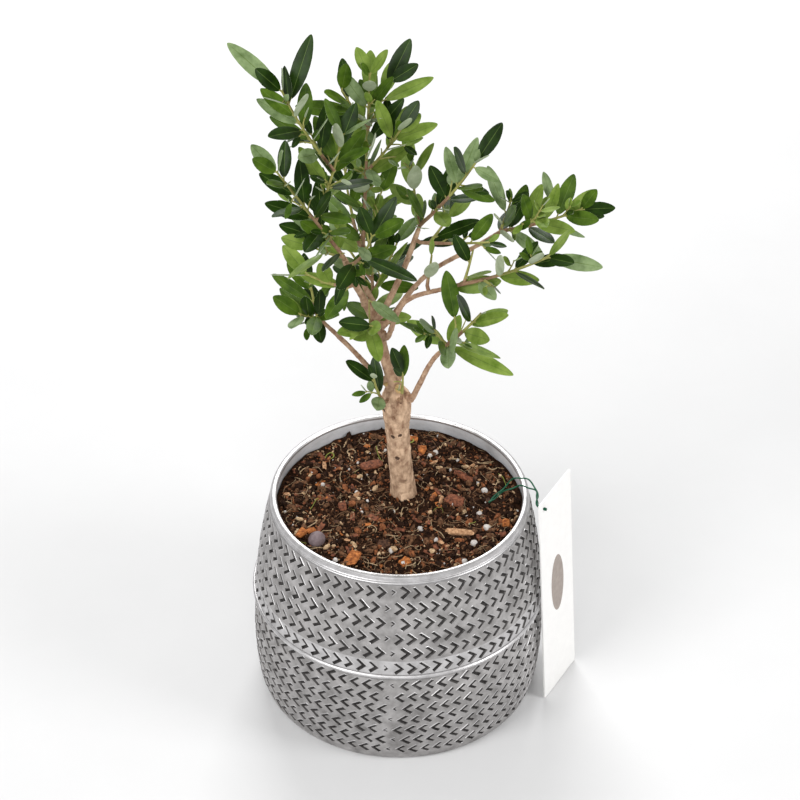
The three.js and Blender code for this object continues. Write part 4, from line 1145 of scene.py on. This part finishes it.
# The greens span the leaves' own tones and also stand in for light: the dark green holds painted shade, the
# bright green painted light, and the grey green is a painted sheen.
GREENS = (
    leaf_finish("leaf_bright_and_lit", (0.225, 0.315, 0.06), (0.105, 0.18, 0.018), 0.42),
    leaf_finish("leaf_mid", (0.085, 0.155, 0.012), (0.03, 0.068, 0.004), 0.40),
    leaf_finish("leaf_dark_and_shade", (0.019, 0.05, 0.003), (0.007, 0.02, 0.001), 0.36),
    leaf_finish("leaf_grey_sheen", (0.25, 0.335, 0.155), (0.095, 0.15, 0.05), 0.45))
rib_green = leaf_finish("leaf_rib", (0.13, 0.2, 0.045), (0.07, 0.115, 0.02), 0.45)
silvery = leaf_finish("leaf_underside", (0.47, 0.53, 0.37), (0.3, 0.36, 0.22), 0.6, 0.2)
LEAF_RIB, LEAF_UNDER = len(GREENS), len(GREENS) + 1
leaf_rng = np.random.default_rng(5)
# A spray is mostly bright, middling or dark: the share of each green in it, and of the kinds.
SPRAY_SHARES = ((0.5, 0.3, 0.1, 0.1), (0.15, 0.4, 0.35, 0.1), (0.05, 0.25, 0.5, 0.2))
KIND_SHARES = (0.35, 0.4, 0.25)
leaves = Heap()
twigs = Heap()
spray_kind = {}
for blade in blades:
    spray = (blade.owner, blade.shoot)
    if spray not in spray_kind:
        spray_kind[spray] = int(leaf_rng.choice(3, p=KIND_SHARES))
    tone = int(leaf_rng.choice(4, p=SPRAY_SHARES[spray_kind[spray]]))
    points, faces, finish = leaf_mesh(blade, leaf_rng, leaf_rng.uniform(0.8, 0.97))
    leaves.add(points, faces, [(tone, LEAF_UNDER, LEAF_RIB)[kind] for kind in finish])
    stalk = [blade.root, blade.at(0.05, 0), blade.at(PETIOLE + 0.03, 0) - blade.face * 0.12]
    twigs.add(*tube(stalk, (0.5, 0.42, 0.4), 5), 1)
foliage_leaves = leaves.piece("foliage_leaves", (*GREENS, rib_green, silvery), "leaves", 50)
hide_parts(*[mass[0] for mass in masses])

# Twigs are bark-brown at the foot and green further out.
TWIG_SIDES = 8
TWIG_BROWN, TWIG_GREEN = range(2)
for _, shoots, *_ in masses:
    for carrier, (path, length, _, radius) in enumerate(shoots):
        sunk, brown_share = (1.2, 0.55) if carrier == 0 else (0.4, 0.25)
        line = list(path)
        line[0] = line[0] - unit(line[1] - line[0]) * sunk
        steps = max(6, int(length / 3))
        radii = np.linspace(radius * 1.05, TWIG_TIP_RADIUS, steps + 1)
        points, faces = tube(smooth_path(line, steps), radii, TWIG_SIDES)
        brown = int(steps * brown_share) * TWIG_SIDES
        green = steps * TWIG_SIDES - brown
        twigs.add(points, faces, [TWIG_BROWN] * brown + [TWIG_GREEN] * green + [TWIG_BROWN] * 2)
for foot, middle, end in sprigs:
    twigs.add(*tube(smooth_path([foot, middle, end], 5), np.linspace(0.5, 0.28, 6), 6), TWIG_GREEN)
twig_bark = finish_of("twig_bark", (0.46, 0.31, 0.19), (0.24, 0.13, 0.08), 2.5, 0.5, 0.15, roughness=0.7,
                      gloss=0.15)
twig_green = finish_of("twig_green", (0.40, 0.40, 0.12), (0.26, 0.25, 0.07), 2.5, 0.4, 0.1, roughness=0.55)
twigs.piece("foliage_twigs", (twig_bark, twig_green), "young_bark", 60)

# ----------------------------------------------------------------------------- card label
# A stiff white card, 36 by 132 mm, standing on its foot beside the pot and leaning on its
# lip. A hole near its top takes the tie, and a plain oval is printed where a mark would be.
TAG_WIDTH, TAG_HEIGHT, TAG_THICKNESS = 36, 132, 0.8
TAG_HOLE_RADIUS, HOLE_INSET = 1.8, 5
TAG_HEADING, TAG_LEAN = 62, 3.4
TAG_CORNER = np.array([79.2, -23.5, GAP])
along_foot = direction(TAG_HEADING, 0)
outward = direction(TAG_HEADING - 90, 0)
up_card = np.array([0, 0, math.cos(math.radians(TAG_LEAN))]) - outward * math.sin(math.radians(TAG_LEAN))
card_face = np.cross(along_foot, up_card)


def on_card(across, up, out):
    return TAG_CORNER + along_foot * across + up_card * up + card_face * out


def card_slab(name, outline, hole, low, high, material):
    """A flat slab with an outline and one hole, both closed loops of as many points."""
    count = len(outline)
    points = [on_card(x, y, out) for out in (low, high) for loop in (outline, hole) for x, y in loop]
    rings = (0, 1), (3, 2), (2, 0), (1, 3)      # back, front, rim and the hole's wall
    faces = [(a * count + k, b * count + k, b * count + (k + 1) % count, a * count + (k + 1) % count)
             for a, b in rings for k in range(count)]
    return new_mesh(name, points, faces, (material,), crease=35)


def rounded_card(corner, steps):
    """Points round the card's edge, a quarter turn of steps points at each corner."""
    loop = []
    for number, (x, y) in enumerate(((TAG_WIDTH - corner, corner), (TAG_WIDTH - corner, TAG_HEIGHT - corner),
                                     (corner, TAG_HEIGHT - corner), (corner, corner))):
        for k in range(steps):
            angle = math.radians(-90 + 90 * number + 90 * k / (steps - 1))
            loop.append((x + corner * math.cos(angle), y + corner * math.sin(angle)))
    return loop


CARD_CORNER, CORNER_STEPS = 0.8, 8
card_loop = rounded_card(CARD_CORNER, CORNER_STEPS)
hole_loop = []
for x, y in card_loop:
    angle = math.atan2(y - (TAG_HEIGHT - HOLE_INSET), x - HOLE_INSET)
    hole_loop.append((HOLE_INSET + TAG_HOLE_RADIUS * math.cos(angle),
                      TAG_HEIGHT - HOLE_INSET + TAG_HOLE_RADIUS * math.sin(angle)))
white_card = finish_of("white_card", (0.95, 0.94, 0.922), (0.91, 0.9, 0.885), 6, 0.2, 0.05, roughness=0.6)
card = card_slab("card_label", card_loop, hole_loop, 0, TAG_THICKNESS, white_card)
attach(card, "root")
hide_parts("label_card")

MARK_CENTRE, MARK_HALF_WIDTH, MARK_HALF_HEIGHT = (18, 68), 7.0, 18.5
turns = [2 * math.pi * k / 48 for k in range(48)]
outer_loop, inner_loop = ([(MARK_CENTRE[0] + wide * math.cos(a), MARK_CENTRE[1] + high * math.sin(a))
                           for a in turns]
                          for wide, high in ((MARK_HALF_WIDTH, MARK_HALF_HEIGHT), (0.02, 0.02)))
oval_print = finish_of("oval_print", (0.42, 0.36, 0.32), (0.34, 0.29, 0.26), 3, 0.2, 0.05, roughness=0.6)
mark = card_slab("card_oval", outer_loop, inner_loop, TAG_THICKNESS - 0.05, TAG_THICKNESS + 0.06, oval_print)
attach(mark, "root")

# ------------------------------------------------------------------------------- wire tie
# Two strands of green coated wire, loosely twisted. They rise from the potting mix, part a
# little, cross the rim and end in the card's hole.
TIE_RADIUS, STRAND_RADIUS, STRAND_OFFSET = 0.6, 0.42, 0.4
hole_centre = on_card(HOLE_INSET, TAG_HEIGHT - HOLE_INSET, 0)
TIE_ROUTE = [(47, 1, SOIL_LEVEL + TIE_RADIUS + GAP), (52, 4, SOIL_LEVEL + 3), (60, 4, POT_HEIGHT),
             (67, 1, POT_HEIGHT + 3), (72, -4, POT_HEIGHT + 4),
             hole_centre - card_face * 3 + np.array([0, 0, 1]), hole_centre + card_face * 2.4]
TWISTS = 4.5
SLACK_END = 0.8     # share of the tie's length along which its two strands stand apart
route = smooth_path(TIE_ROUTE, 150)
ways = np.gradient(route, axis=0)
ways /= np.linalg.norm(ways, axis=1)[:, None]
tie = Heap()
for strand, slack in ((0, 1.2), (math.pi, 6.0)):
    path = []
    for k, (spot, way) in enumerate(zip(route, ways)):
        side = square_to(way, np.array([0, 0, 1.0]))
        other = np.cross(way, side)
        turn = strand + 2 * math.pi * TWISTS * k / (len(route) - 1)
        share = min(k / (len(route) - 1) / SLACK_END, 1)
        lift = np.array([0, 0.3, 1]) * slack * math.sin(math.pi * share) ** 2
        path.append(spot + lift + STRAND_OFFSET * (side * math.cos(turn) + other * math.sin(turn)))
    tie.add(*tube(path, np.full(len(path), STRAND_RADIUS), 8), 0)
green_wire = finish_of("green_wire", (0.012, 0.12, 0.06), (0.006, 0.07, 0.035), 2, 0.2, 0.05, roughness=0.4)
tie_piece = tie.piece("wire_tie", (green_wire,), "tie", 60)
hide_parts("label_tie")

# ---------------------------------------------------------------------- floor, light, camera
# A plain pale floor under soft studio light, seen from above and in front.
FLOOR_HALF = 6.0
floor_mesh = bpy.data.meshes.new("pale_floor")
corners = [(x * FLOOR_HALF, y * FLOOR_HALF, 0) for x, y in ((-1, -1), (1, -1), (1, 1), (-1, 1))]
floor_mesh.from_pydata(corners, [], [(0, 1, 2, 3)])
pale_floor = bpy.data.objects.new("pale_floor", floor_mesh)
bpy.context.scene.collection.objects.link(pale_floor)
floor_white = finish_of("floor_white", (0.72, 0.72, 0.722), (0.705, 0.705, 0.707), 60, 0.05, 0.1,
                        roughness=0.7)
floor_mesh.materials.append(floor_white)

world = bpy.data.worlds.new("studio")
bpy.context.scene.world = world
world.use_nodes = True
sky = world.node_tree.nodes["Background"]
sky.inputs["Color"].default_value = (1.0, 1.0, 1.0, 1)
sky.inputs["Strength"].default_value = 0.45


def soft_light(name, place, target, size, watts):
    """A square panel of light at place, turned to target."""
    data = bpy.data.lights.new(name, "AREA")
    data.size, data.energy = size, watts
    lamp = bpy.data.objects.new(name, data)
    lamp.location = place
    lamp.rotation_euler = (Vector(target) - Vector(place)).to_track_quat("-Z", "Y").to_euler()
    bpy.context.scene.collection.objects.link(lamp)


soft_light("key_panel", (-0.9, -0.9, 1.3), (0, 0, 0.15), 0.7, 14)
soft_light("front_panel", (-0.1, -2.3, 1.3), (0, 0, 0.15), 1.0, 15)
soft_light("side_panel", (1.3, -0.5, 0.95), (0, 0, 0.15), 0.6, 10)
soft_light("back_panel", (-0.1, 1.2, 1.1), (0, 0, 0.2), 0.8, 15)

bpy.context.scene.view_settings.view_transform = "Standard"

CAMERA_SPOT = Vector((0.0, -1.6281, 1.4738))
CAMERA_TARGET = Vector((-0.00037, 0.0, 0.1862))
CAMERA_ROLL = 0.01059
SENSOR, LENS = 36.0, 180.58
camera_data = bpy.data.cameras.new("front_camera")
camera_data.sensor_width, camera_data.lens = SENSOR, LENS
camera_data.clip_start, camera_data.clip_end = 0.05, 50
camera = bpy.data.objects.new("front_camera", camera_data)
forward = (CAMERA_TARGET - CAMERA_SPOT).normalized()
level = forward.cross(Vector((0, 0, 1))).normalized()
upward = level.cross(forward)
right = level * math.cos(CAMERA_ROLL) + upward * math.sin(CAMERA_ROLL)
above = upward * math.cos(CAMERA_ROLL) - level * math.sin(CAMERA_ROLL)
camera.matrix_world = Matrix((
    (right.x, above.x, -forward.x, CAMERA_SPOT.x), (right.y, above.y, -forward.y, CAMERA_SPOT.y),
    (right.z, above.z, -forward.z, CAMERA_SPOT.z), (0, 0, 0, 1)))
bpy.context.scene.collection.objects.link(camera)
bpy.context.scene.camera = camera
